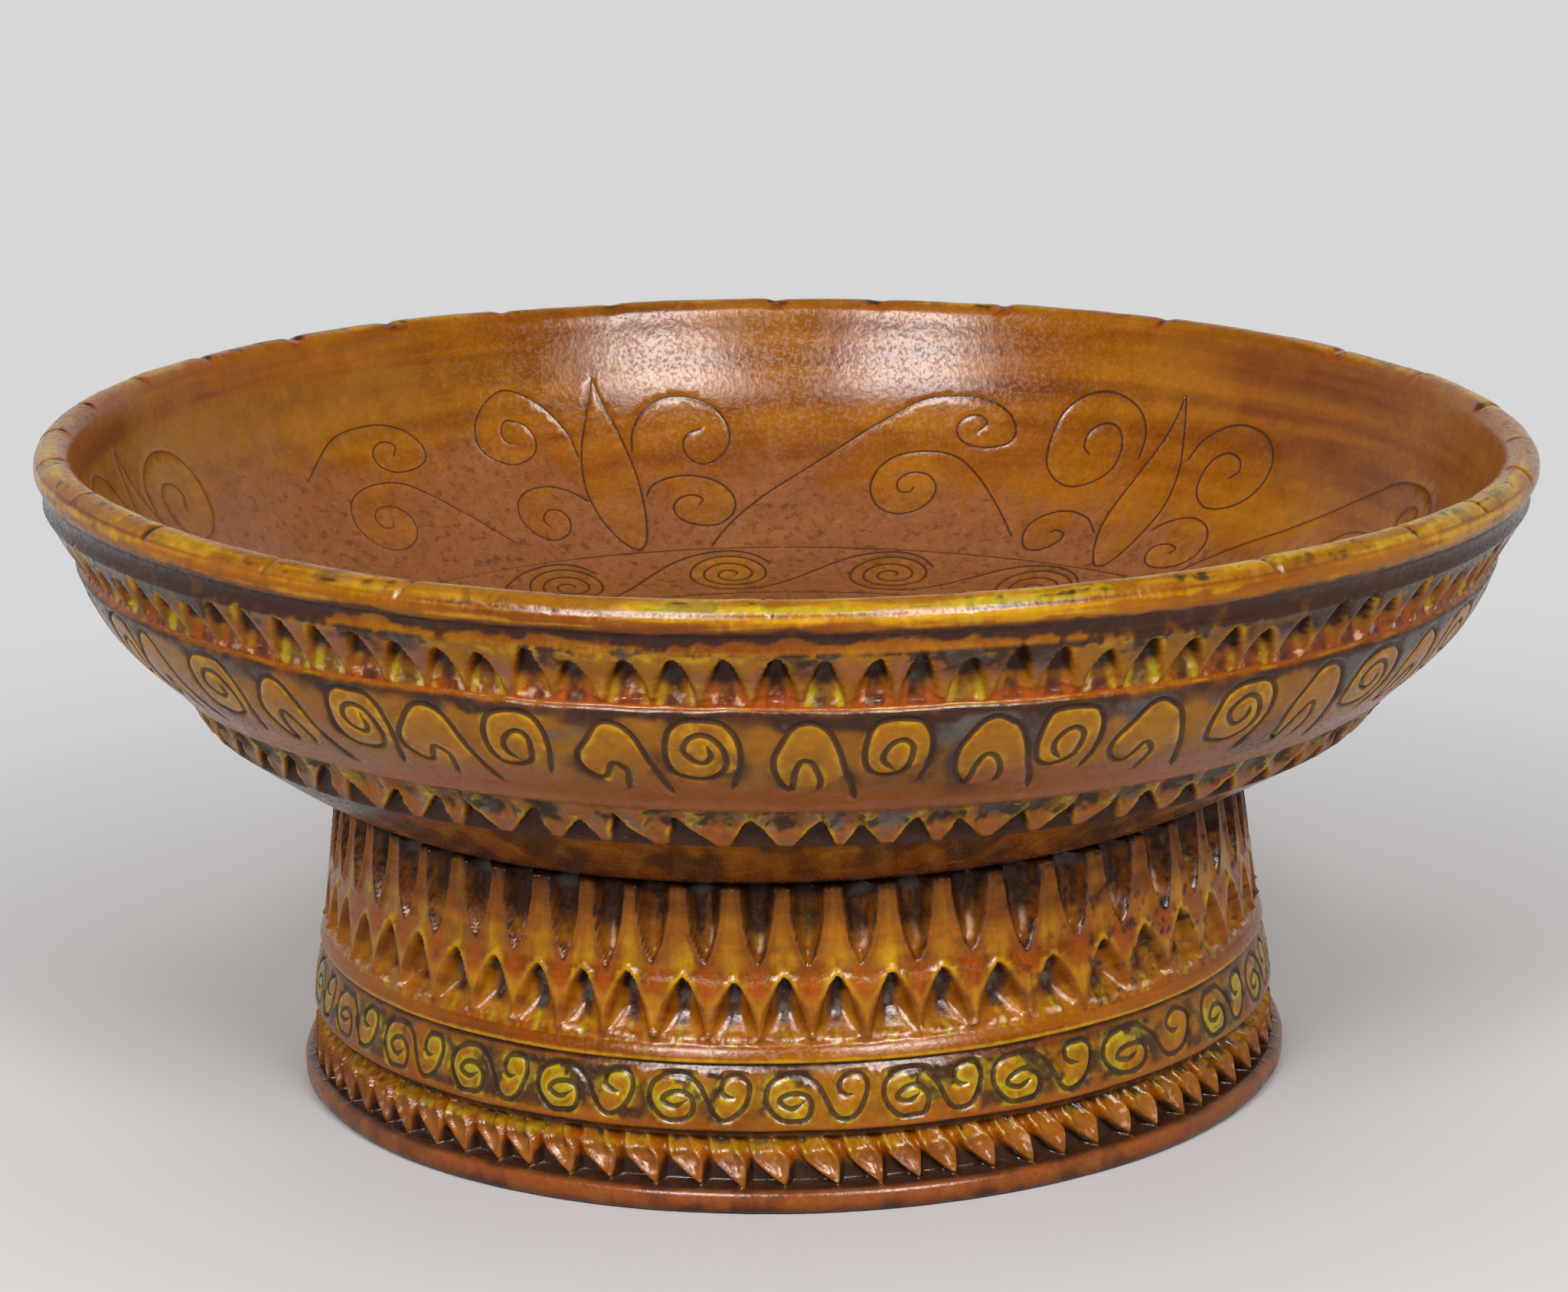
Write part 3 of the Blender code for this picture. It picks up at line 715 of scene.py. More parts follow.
UPPER_GOUGES = [
    -31.8, -28.5, -25, -21.8, -18.5, -15.3, -11.5, -8, -4.5, -1, 2.3, 5.7, 8.7, 12.3, 15.5, 18.8, 22.1,
]
LOWER_GOUGES = [-37.3, -32.8, -28.3, -23.3, -18.3, -14, -8.3, -3.3, 2.2, 6.2, 10.5, 14.9, 19.7, 24, 28.2]
NOTCHES = [
    -164.6, -153.8, -142.5, -131.6, -120.3, -109.8, -98.9, -88, -77.1, -63.9, -51.6, -38.5, -26.8, -16,
    -1.6, 11.7, 23.5, 34.9, 49.7, 60.2, 72.8, 84.9, 98.1, 111.8, 123.6, 143.7, 159.4, 171.2, 180.5,
]
# There are this many hooks, and as many spirals between them
BAND_SCROLL_COUNT = 25
UPPER_GOUGE_COUNT, LOWER_GOUGE_COUNT = 107, 77
HOOKS = [-58.4, -41.9, -27.4, -13, 1, 14.6, 27.6, 43.6]
SPIRALS = [-49.4, -33.9, -20.4, -6.6, 7.7, 20.6, 35.6, 50.6]
# Scrolls of the bowl's outer band, in degrees from their middle and mm up the wall from its lower edge
HOOK_WIDE = [
    (4.1, 4.8), (3.7, 7.8), (2.9, 14.5), (1.9, 21.8), (1, 24.6), (0, 25.5), (-1, 24.6), (-1.9, 21.5),
    (-2.9, 17.1), (-2.9, 13.5), (-2, 10.6), (-1.2, 10.1), (-0.8, 12.1), (-0.2, 15.2), (0.7, 12.8),
    (0.7, 10.5), (0.4, 5.8),
]
HOOK_LONG = [
    (4.1, 4), (3.6, 9.3), (3.1, 13.3), (2.6, 18.3), (1.9, 22.7), (1.1, 24.7), (0.1, 25.5), (-1, 24.2),
    (-2.1, 19.5), (-2.4, 16.1), (-2.2, 12.8), (-1.7, 9.1), (-1.1, 7.6), (-0.9, 10), (-0.8, 13.3),
    (-0.4, 16.2), (0.1, 16.9), (0.6, 15.7), (1.1, 12.3), (1.2, 9.3), (0.9, 7.3),
]
SPIRAL_ROUND = [
    (0.6, 19.9), (0.8, 18.1), (0.5, 16.5), (-0.1, 16), (-1, 17.5), (-1.3, 19.5), (-0.8, 21.8), (0.2, 22.6),
    (1.2, 21.5), (1.9, 18.5), (1.9, 15.1), (1.2, 12.5), (0, 11.5), (-1.3, 11.8), (-2.3, 13.1), (-2.7, 16.1),
    (-2.7, 19.5), (-2.3, 23.3), (-1.3, 25.5), (0.2, 26.3), (1.7, 25.5), (2.7, 22.8), (3.1, 19.1), (3, 15.1),
    (2.7, 11.8), (2.2, 7.8),
]
SPIRAL_NARROW = [
    (-0.2, 13.9), (-0.9, 16), (-1, 18.3), (-0.4, 20.7), (0.4, 21.5), (1, 20), (1, 16.7), (0.7, 14),
    (0, 12.7), (-0.9, 12.1), (-1.8, 13.3), (-2.3, 16.7), (-2.3, 21), (-1.8, 24.6), (-0.8, 26.2),
    (0.6, 26.4), (1.7, 25), (2.3, 22), (2.4, 17.7), (2.2, 13.7), (1.8, 10),
]
BAND_CURVE = [(123.6, 85.2), (129.7, 90.5), (134.6, 95.8), (137.95, 101.1), (140.2, 106.4)]
# The band is unrolled to a plane in which the distance from the centre is 118 + s
BAND_PLANE = 118
# Runs of glaze on the plain flare
DROPS, DROP_COUNT = [-33, -20, -7, 4.6, 16, 27, 39], 31
# Height at which the bowl sits on its foot, and radius of its outside at the rim
SEAT, RIM_RADIUS = 61, 146
# Lower and upper corner of the two bands that are cut with gouges: radius and height
LOWER_BAND = (116.3, 75.9), (122.1, 83.5)
UPPER_BAND = (139.4, 107.5), (145.5, 118.4)
# Height from a gouge's open end to its apex, along the wall
LOWER_GOUGE_TALL, UPPER_GOUGE_TALL = 6.6, 11.3
# The rounded rim: radius and height of its middle, and its own radius
RIM_ROLL = 143.9, 124.8, 3.7


def band_lines():
    """The outer band's grooves, and the outlines of their rounds."""
    draw = np.random.default_rng(41)
    lines, rounds = [], []
    for measured, shapes in ((HOOKS, (HOOK_WIDE, HOOK_LONG)), (SPIRALS, (SPIRAL_ROUND, SPIRAL_NARROW))):
        for centre in spread(measured, BAND_SCROLL_COUNT):
            # the scrolls near the middle of the front are as in the photo, the others go by lot
            in_front = -14 < math.degrees(centre) < -6
            pick = 0 if in_front else 1 if abs(centre) < 0.15 else int(draw.integers(2))
            wide, tall = 1 + draw.uniform(-0.07, 0.07, 2)
            trail = []
            for degrees, s in shapes[pick]:
                angle = centre + math.radians(degrees * wide)
                s = min(17 + (s - 17) * tall + draw.uniform(-0.25, 0.25), 26)
                trail.append(((BAND_PLANE + s) * math.sin(angle), -(BAND_PLANE + s) * math.cos(angle)))
            lines.append((catmull(trail, 0.6), *BAND_GROOVE))
            rounds.append(hull(trail[2:] if shapes[0] is HOOK_WIDE else trail[:-2]))
    return lines, rounds


# The inner ornament, in degrees from the middle of a leaf and mm along the wall from the crest of the rim.
# Two drawings of the leaf and its four scrolls take turns, then come the two long stems between two leaves.
LEAVES = [
    [
        [(-0.3, 18.6), (-1.4, 27.2), (-2.7, 36), (-3.4, 45.6), (-3, 53.6), (-1.9, 59.5), (-0.6, 63),
         (0.5, 64.3), (1.7, 62.1), (2.4, 55.2), (2.6, 48), (2.4, 40.8), (1.6, 32), (0.5, 24.8),
         (-0.3, 18.6)],
        [(-3.1, 37.6), (-3.8, 30.4), (-6.1, 23.2), (-9, 19.5), (-11.3, 21.6), (-13, 26.4), (-13.4, 31.7),
         (-12.3, 35.5), (-10.1, 37.6), (-7.8, 35.5), (-7.2, 31.7), (-8, 28), (-9.7, 26.6), (-10.5, 28.8),
         (-10.4, 31.4), (-9.7, 32.3)],
        [(2.6, 37.1), (3, 32), (4.3, 27.2), (6.3, 24.3), (8.7, 24), (11.1, 26.1), (12.6, 30.4),
         (12.8, 35.2), (11.7, 39.2), (9.9, 41.1), (8.5, 39.4), (8, 36), (8.6, 33.1), (10.1, 31.8)],
        [(-3.4, 49.9), (-5.4, 46.1), (-7.8, 44.3), (-10.2, 45.1), (-11.7, 48), (-12.2, 52.8),
         (-11.2, 57.3), (-9.3, 59.4), (-7.3, 57.9), (-6.6, 54.4), (-7.2, 51.5), (-8.6, 50.9), (-9.6, 53.4),
         (-9.1, 56)],
        [(2.9, 49.9), (4, 46.4), (6.3, 44.3), (9.1, 44.3), (11.5, 46.7), (12.8, 50.9), (12.5, 55.2),
         (10.7, 58.2), (8.3, 58.2), (6.4, 56.3), (5.8, 53.1), (6.7, 50.4), (8.2, 49.6), (9.3, 50.9),
         (8.6, 52.8)],
    ],
    [
        [(0.2, 17.6), (-0.5, 27.2), (-1.8, 36.8), (-2.7, 45.6), (-2.9, 52.8), (-2.2, 58.9), (-1.2, 62.7),
         (-0.3, 64), (1, 62.1), (2.2, 56), (3, 48), (3, 41.9), (2.4, 34.4), (1.3, 26.4), (0.2, 17.6)],
        [(-2.7, 34.4), (-2.9, 28), (-4.4, 22.4), (-7.2, 19.4), (-10, 20.2), (-12.2, 24.8), (-12.9, 32),
         (-12.5, 38.1), (-11, 41.9), (-9, 43.4), (-6.8, 41.6), (-5.2, 37.6), (-5, 32), (-6, 27.5),
         (-7.6, 26.6), (-9, 29.1), (-9.1, 32.8), (-8.2, 34.6)],
        [(2.9, 32.8), (3.7, 27.5), (5.6, 23.7), (8, 22.2), (10.8, 23.5), (12.8, 27.5), (13.4, 32.8),
         (12.6, 38.4), (10.6, 42.1), (8, 43), (6, 40), (5.4, 35.5), (5.9, 31.2), (7.4, 29.1), (9, 30.1),
         (9.6, 32.8), (8.6, 35.2)],
        [(-3.2, 55.2), (-5, 51.5), (-7.4, 50.1), (-9.6, 51.2), (-11.4, 54.4), (-11.8, 58.4), (-10.8, 61.8),
         (-9, 61.8), (-7.4, 59.5), (-6.9, 56.8), (-8, 55.7), (-8.8, 57)],
        [(3.4, 52), (5, 48.5), (7.4, 46.4), (9.8, 47.5), (11.4, 51.2), (11.5, 56), (10.1, 59.2), (8, 61.1),
         (6, 60.8), (5, 58.4), (5.4, 55.7), (6.9, 54.4), (8.3, 55.2), (7.7, 57)],
    ],
]
STEMS = [
    [
        (9.4, 65), (10.3, 62.4), (12.7, 56.8), (16.7, 49.3), (21.9, 40.8), (26.3, 33.1), (29.9, 27.5),
        (32.2, 24.5), (34.7, 23.4), (37.8, 23.4), (40.5, 25.6), (41.9, 29.6), (41.8, 33.1), (40.2, 35),
        (37.9, 35.2), (36.3, 33.3), (35.9, 30.4), (36.6, 28.2), (37.9, 27.5), (38.9, 29.1), (38.1, 31.5),
    ],
    [
        (45.8, 59.2), (43.9, 54.4), (41.9, 49.3), (39.5, 43.5), (37.1, 39), (34.9, 37.3), (32.2, 37.4),
        (29.8, 39.2), (28.3, 42.9), (27.8, 47.7), (28.7, 52.5), (30.7, 54.9), (33.1, 54.1), (34.7, 50.9),
        (35, 46.7), (33.8, 43.5), (31.9, 43.2), (30.7, 45.6), (31, 48.3), (32.2, 48.6), (32.6, 46.7),
    ],
]
# Places of the leaves, with how many mm lower each one is, and of the stems
LEAF_PLACES = [(-81, -6), (-18.3, 0), (40.5, 0), (101.6, 1), (162.4, -1), (-137.7, 1)]
STEM_PLACES = [-79.1, -18.3, 40.5, 101.6, 162.4, -137.7]
WAVE_COUNT = 17
WAVE_PLACES = [-50.8, -29.5, -7, 14.4, 35.2]
# Middle of the waves in mm from the crest, their reach in degrees and mm, and the rings on both sides
WAVE_MIDDLE, WAVE_REACH, WAVE_RINGS = 75.2, (5.9, 8.4), (65.4, 86.6)
# The inner wall is unrolled to a plane in which the distance from the centre is this less the mm from the
# crest along the wall
FLOOR_REACH = 168.6


def unrolled(degrees, s):
    """A place in the inner wall's plane, by its angle from the back and the mm from the crest."""
    angle = np.radians(degrees)
    return (FLOOR_REACH - s) * np.sin(angle), (FLOOR_REACH - s) * np.cos(angle)


def inner_lines():
    """The inner ornament's grooves, and the outlines of the places that are left clean and light."""
    draw = np.random.default_rng(51)
    lines, clean = [], []
    for k, ((place, lower), stem) in enumerate(zip(LEAF_PLACES, STEM_PLACES)):
        for j, shape in enumerate(LEAVES[(k + 1) % 2]):
            bend = 1 + (0 if k in (1, 2) else draw.uniform(-0.04, 0.04))
            points = [unrolled(place + d * bend, s + lower) for d, s in shape]
            lines.append((catmull(points, 0.7), *LEAF_GROOVE))
            clean.append(lines[-1][0] if j == 0 else hull(points[2:]))
        # the long stems, with the number of the point at which each one's spiral starts
        for shape, first in zip(STEMS, (6, 5)):
            bend = 1 + (0 if k == 1 else draw.uniform(-0.03, 0.03))
            points = [unrolled(stem + d * bend, s) for d, s in shape]
            line = points[5:] if (k, first) == (0, 6) else points
            lines.append((catmull(line, 0.7), *LEAF_GROOVE))
            clean.append(hull(points[first:]))
    waves = np.degrees(spread(WAVE_PLACES, WAVE_COUNT))
    across, along = WAVE_REACH
    turns, edge = np.radians(np.arange(-760, 271, 20)), np.radians(np.arange(0, 360, 12))
    grow = np.linspace(0.06, 1, len(turns)) ** 0.9
    for k, place in enumerate(waves):
        run = (waves[(k + 1) % WAVE_COUNT] - place) % 360
        shape = [
            (place + across * g * math.cos(t), WAVE_MIDDLE - along * g * math.sin(t))
            for g, t in zip(grow, turns)
        ]
        shape += [(place + run * share, s) for share, s in WAVE_TAIL]
        lines.append((catmull([unrolled(d, s) for d, s in shape], 0.8), *WAVE_GROOVE))
        outline = [unrolled(place + 5.6 * math.cos(t), WAVE_MIDDLE - 8 * math.sin(t)) for t in edge]
        clean.append(np.array(outline))
    for s in WAVE_RINGS:
        places = np.arange(0, 360.1, 0.55)
        ring = np.array([unrolled(d, s + 0.12 * math.sin(math.radians(5 * d))) for d in places])
        lines.append((ring, *RING_GROOVE))
    return lines, clean


# How a wave of the running scroll goes on over the next one: share of the way to it, and mm from the crest
WAVE_TAIL = (
    (0.16, 83.2), (0.34, 79.6), (0.5, 74.6), (0.66, 70), (0.82, 67.2), (1, 66.2), (1.14, 67.6), (1.24, 71),
)
# Inner wall from just under the lip to the middle, and how far its start is from the crest along the wall
INNER_CURVE = [
    (139.2, 121.8), (138, 118), (136.6, 114.3), (135.2, 110.9), (133, 106.9), (130.2, 102.8), (127.1, 98.8),
    (123.7, 95.2), (120, 91.8), (116.1, 88.6), (112.2, 85.5), (108.3, 82.4), (104.4, 79.6), (100.2, 77.5),
    (95.5, 75.9), (90.3, 74.9), (80, 73.8), (65, 73), (50, 72.6), (25, 72.5), (0, 72.5),
]
CREST_OFFSET = 9.0
# Slope of the bowl on its foot: down to the right, and down to the front
LEAN = 0.0192, 0.0049
# The leaning rim rises at most this many mm above the solid's, so that it stays near the solid's box
MOST_UP = 3.5
# How far the crest is above its mean height, in mm: cosine and sine parts once, twice and thrice around
CREST_WAVES = ((-0.37, -0.82), (-0.61, 0.25), (0, 0.57))


def settle(points):
    """The hand-thrown bowl sits a little askew on its foot, and its rim is uneven."""
    x, y, z = points.T
    theta = np.arctan2(x, -y)
    wave = sum(c * np.cos(k * theta) + d * np.sin(k * theta) for k, (c, d) in enumerate(CREST_WAVES, 1))
    wave = wave * smooth(z, 117.5, 127) * smooth(np.hypot(x, y), 120, 137)
    share = smooth(z, SEAT, 85)
    up = wave + share * (-LEAN[0] * x + LEAN[1] * y)
    up = up / (1 + (np.maximum(up, 0) / MOST_UP) ** 4) ** 0.25
    return np.c_[x + share * LEAN[0] * (z + wave - SEAT), y, z + up]


def on_curve(coords, s, curve, cut, depths, start=0, side=1):
    """Points of an unrolled patch on a wall with this profile, with the grooves cut in."""
    curve_r, curve_z, along = curve
    radius, z = np.interp(s - start, along, curve_r), np.interp(s - start, along, curve_z)
    lean_r, lean_z = (np.interp(s - start, along, np.gradient(c, along)) for c in (curve_r, curve_z))
    radius, z = radius - side * lean_z * cut * depths, z + side * lean_r * cut * depths
    return turned(radius, np.arctan2(coords[:, 0], -coords[:, 1]), z)


def make_underside(wall):
    """The seat over the foot's hollow and the plain flare, with drops where the glaze ran."""
    few, part = angles(HIDDEN_COLUMNS), angles(UNDERSIDE_COLUMNS)
    centre = wall.add([[0, 0, SEAT]], {"mauve": 0.5})
    radius, height = columns([(r, SEAT) for r in (30, 60, 79, 86)], HIDDEN_COLUMNS)
    low, last = wall.rows(few, radius, height, {"mauve": 0.5, "dark": 0.3})
    ring = low[0]
    wall.faces += [[int(b), int(a), int(centre[0])] for a, b in zip(ring, np.roll(ring, -1))]
    flare = [(88.9, 60.6), (91, 61.1), (97.5, 64.2), (104.4, 68.2), (111, 72.4), (115.8, 75.6)]
    curve = profile(flare, 1.1)
    radius, height = columns(list(zip(*curve[:2])), UNDERSIDE_COLUMNS)
    rise = np.linspace(0, 1, len(radius))[:, None]
    coarse, wash = speckle(part, 100, rise * 12, 7, 61), speckle(part, 60, rise * 25, 9, 62)
    u = local(part, spread(DROPS, DROP_COUNT))[1][None, :]
    drop = ((u - 0.1) / 0.30) ** 2 + ((rise - 0.66) / 0.24) ** 2
    masks = {
        "dark": 0.42 + smooth(coarse, 0.35, 0.75) * (0.3 + 0.5 * smooth(rise, 0.4, 1))
        # darkest next to the foot: painted shade where the bowl meets it
        + 0.85 * smooth(rise, 0.2, 0.02),
        "warm": 0.3 + 0.4 * wash,
        "edge": bell(drop, 1, 0.4) * 0.4,
        "olive": smooth(wash, 0.5, 0.8) * 0.4 + smooth(drop, 1, 0.5) * 0.4,
    }
    return wall.stack(last, part, radius, height, masks)


def make_lower_band(wall, theta, last):
    """Petals scooped from above, dark triangles with painted shade between their tips, and the scroll
    band's lower lip with a painted shadow under it.
    """
    share = np.linspace(0, 1, 24)
    rise = share[:, None]
    centres = spread(LOWER_GOUGES, LOWER_GOUGE_COUNT)
    depth, distance, _ = gouge(
        theta, (share - 0.02) / 0.68, centres, 118.5, LOWER_GOUGE_TALL,
        lambda v: 0.4 * (1 - v) ** 0.85, lambda v: 0.35 + 0.65 * smooth(v, 0, 0.45),
        71, wobble=0.2, lean=0.25,
    )
    k, u = local(theta, middles(centres))
    draw = np.random.default_rng(76)
    u = u + draw.uniform(-0.08, 0.08, LOWER_GOUGE_COUNT)[k]
    deepness = (0.7 + 0.5 * draw.random(LOWER_GOUGE_COUNT))[k]
    scoop = np.exp(-(((np.abs(u) / 0.34) ** 2.5))) * smooth(rise, 0.35, 0.65) * deepness
    fade = smooth(rise, 0, 0.06)
    lip = 0.25 * bell(distance, 0.4, 0.6) * fade
    h = lip - 2.4 * depth * fade - 1.5 * scoop
    radius, height = offset(*LOWER_BAND, share, h)
    mottle, coarse = speckle(theta, radius, height, 1.8, 72), speckle(theta, 119, height, 6, 73)
    proud = relief(h, 1, (0.41, 0.44))
    cut, face = smooth(0.6 * (mottle - 0.5) - distance, -0.2, 0.5), smooth(distance, 0.1, 0.9)
    masks = {
        # dark: the cuts and hollows, pooled glaze with painted shade in them, and dark glaze mottling
        "dark": cut * (0.95 + 0.3 * mottle) + scoop * smooth(mottle + 0.4 * coarse, 0.35, 0.75)
        + smooth(rise, 0.12, 0) * coarse + smooth(-proud, 0.1, 0.6) * 0.5
        + face * smooth(mottle + 0.3 * coarse, 0.68, 0.92) * smooth(rise, 0.3, 0.6) * 0.7,
        "pink": face * (0.25 + 0.65 * coarse),
        "edge": bell(distance, 0.45, 0.5) * (0.7 * coarse - 0.15) * smooth(rise, 0.02, 0.1)
        + smooth(proud, 0.1, 0.5) * 0.4,
        "green": smooth(rise, 0.3, 0.7) * smooth(mottle + 0.4 * coarse, 0.45, 0.9) * 0.85 * face,
        "grey": scoop * smooth(coarse, 0.4, 0.7) * mottle + face * smooth(coarse - mottle, 0.1, 0.4) * 0.6,
    }
    last = wall.stack(last, theta, radius, height, masks)
    radius, height = columns([(122.6, 84.1), (123.3, 84.6), (123.8, 85.1), (124.3, 85.7)], BOWL_COLUMNS)
    radius = radius + 0.4 * (speckle(theta, 123, 0, 12, 74) - 0.5)
    mottle = speckle(theta, radius, height, 3, 75)
    # darker at the lip's foot: a painted shadow of the step
    masks = {"pink": 0.6 + 0.4 * mottle, "dark": down(0.5, 0.1, 0, 0) * mottle}
    return wall.stack(last, theta, radius, height, masks)


# The bowl's sides, where shade is painted darker, stand this many radians off the X axis
SIDES_TURN = 0.12


def to_the_side(theta, low, high):
    """0 in front and behind, up to 1 at both sides."""
    return smooth(np.abs(np.sin(theta + SIDES_TURN)), low, high)


def make_upper_band(wall, theta):
    """The scroll band's upper edge, a red ledge, and the arched gouges under the rim, with painted shade in
    them and painted glints at their feet.
    """
    radius, height = columns([(140.1, 106.1), (140.2, 106.6), (139.7, 107.1), (139.3, 107.4)], BOWL_COLUMNS)
    height = height + 0.5 * (speckle(theta, 140, 0, 10, 81) - 0.5)
    radius = radius + 0.5 * (speckle(theta, 140, height, 3.5, 89) - 0.5) * down(0, 0.6, 1, 0.6)
    mottle = speckle(theta, radius, height, 4, 82)
    masks = {
        "dark": down(0.9, 0.8, 0.3, 0.1) * (0.5 + 0.8 * mottle),
        "warm": down(0, 0.3, 0.8, 0.8) * (0.3 + 0.7 * mottle),
        "edge": down(0, 0.3, 0.6, 0.2) * smooth(mottle, 0.4, 0.8),
    }
    top_ring, last = wall.rows(theta, radius, height, masks)

    share = np.linspace(0.03, 1, 30)
    centres = spread(UPPER_GOUGES, UPPER_GOUGE_COUNT)
    v = (share * 12.6 - 0.9) / UPPER_GOUGE_TALL
    rise = v[:, None]
    depth, distance, number = gouge(
        theta, v, centres, 142, UPPER_GOUGE_TALL,
        lambda v: 0.46 * (1 - v) ** 0.55, lambda v: 0.3 + 0.7 * smooth(v, 0, 0.5),
        83, wobble=0.15, shorter=0.12,
    )
    depth[v < 0] *= smooth(share[v < 0], 0.02, 0.09)[:, None]
    pool = speckle(theta, 140, rise * 11, 1.5, 87)
    h = 0.45 * smooth(distance, 0, 1.4) * smooth(rise, 0, 0.15)
    h = h + 0.1 * smooth(rise, 0.9, 1) - 3.3 * depth
    h = h + 0.9 * (pool - 0.4) * smooth(rise, 0.22, 0.08) * smooth(rise, -0.1, 0)
    radius, height = offset(*UPPER_BAND, share, h)
    mottle, coarse = speckle(theta, radius, height, 1.7, 84), speckle(theta, 142, height, 7, 85)
    wide, runs = speckle(theta, 142, 0, 22, 88), speckle(theta, 142, 0, 12, 80)
    proud = relief(h, 1, (0.42, 0.52))
    aside = to_the_side(theta, 0.35, 0.8)
    in_cut, face = smooth(-distance, -0.1, 0.9 - 0.6 * aside), smooth(distance, -0.1, 0.8)
    golden = np.random.default_rng(86).random(UPPER_GOUGE_COUNT)[number]
    masks = {
        # dark: painted shade in the gouges' deep tops, with glaze pooled dark there; the band under the
        # roll, partly painted shade; glaze runs and patches; and more painted shade towards both sides
        "dark": in_cut * smooth(rise, 0.22, 0.45) * (1.0 + 0.3 * mottle)
        + in_cut * smooth(-distance, 1.2, 2.4) * (0.3 + 0.8 * mottle) * 0.8
        + smooth(rise + 0.1 * mottle, 1.02, 1.14) * (0.3 + 0.9 * wide)
        + smooth(runs + 0.25 * mottle, 0.72, 0.95) * smooth(rise, 0.35, 0.8) * 0.85
        + smooth(coarse + 0.4 * mottle, 0.75, 1.1) * 0.9 * smooth(rise, 0.6, 1) * (1 - in_cut)
        + aside * smooth(rise, 0.3, 0.75) * (0.45 + 0.6 * mottle) * smooth(distance, 0.5, 1.3),
        "grey": in_cut * smooth(mottle, 0.4, 0.9) * smooth(rise, 0.1, 0.35) * 0.5
        + face * smooth(coarse, 0.5, 0.85) * 0.45 * smooth(rise, -0.1, 0.4),
        "pink": face * smooth(coarse + 0.5 * (wide - 0.5), 0.45, 0.8) * smooth(rise, 1.05, 0.8) * 0.9,
        "olive": face * (0.3 + 0.6 * smooth(rise, 0.3, 0.9)),
        "edge": smooth(proud, 0.05, 0.5) * smooth(rise, 0.35, 0.9) * (0.9 - 0.6 * coarse)
        + smooth(rise, 0.6, 0.3) * face * mottle * 0.7
        + smooth(rise, 0.75, 0.95) * smooth(rise + 0.12 * mottle, 1.15, 1.02) * (1.1 - 0.9 * wide)
        * (1 - in_cut) * smooth(mottle + 0.6 * coarse, 0.4, 0.95) * 0.9 * (1 - 0.8 * aside)
        + aside * bell(distance, 0.4, 0.5) * smooth(rise, 0.3, 0.8) * (0.2 + 0.5 * mottle),
        "warm": smooth(rise, 0.1, -0.02) * (0.3 + 0.7 * mottle)
        + in_cut * smooth(rise, 0.3, 0.08) * smooth(golden, 0.75, 0.45) * (0.4 + 0.6 * mottle),
        "green": in_cut * bell(distance, -0.8, 0.6) * smooth(rise, 0.75, 0.4) * (0.1 + 0.55 * golden)
        + in_cut * smooth(rise, 0.35, 0.1) * smooth(golden, 0.3, 0.8) * (0.1 + 0.7 * mottle),
        # pale: painted glints on the glaze pools at the gouges' feet
        "pale": smooth(pool, 0.6, 0.8) * smooth(rise, 0.2, 0.08) * smooth(rise, -0.1, 0) * in_cut * 0.7,
    }
    return top_ring, wall.stack(last, theta, radius, height, masks)


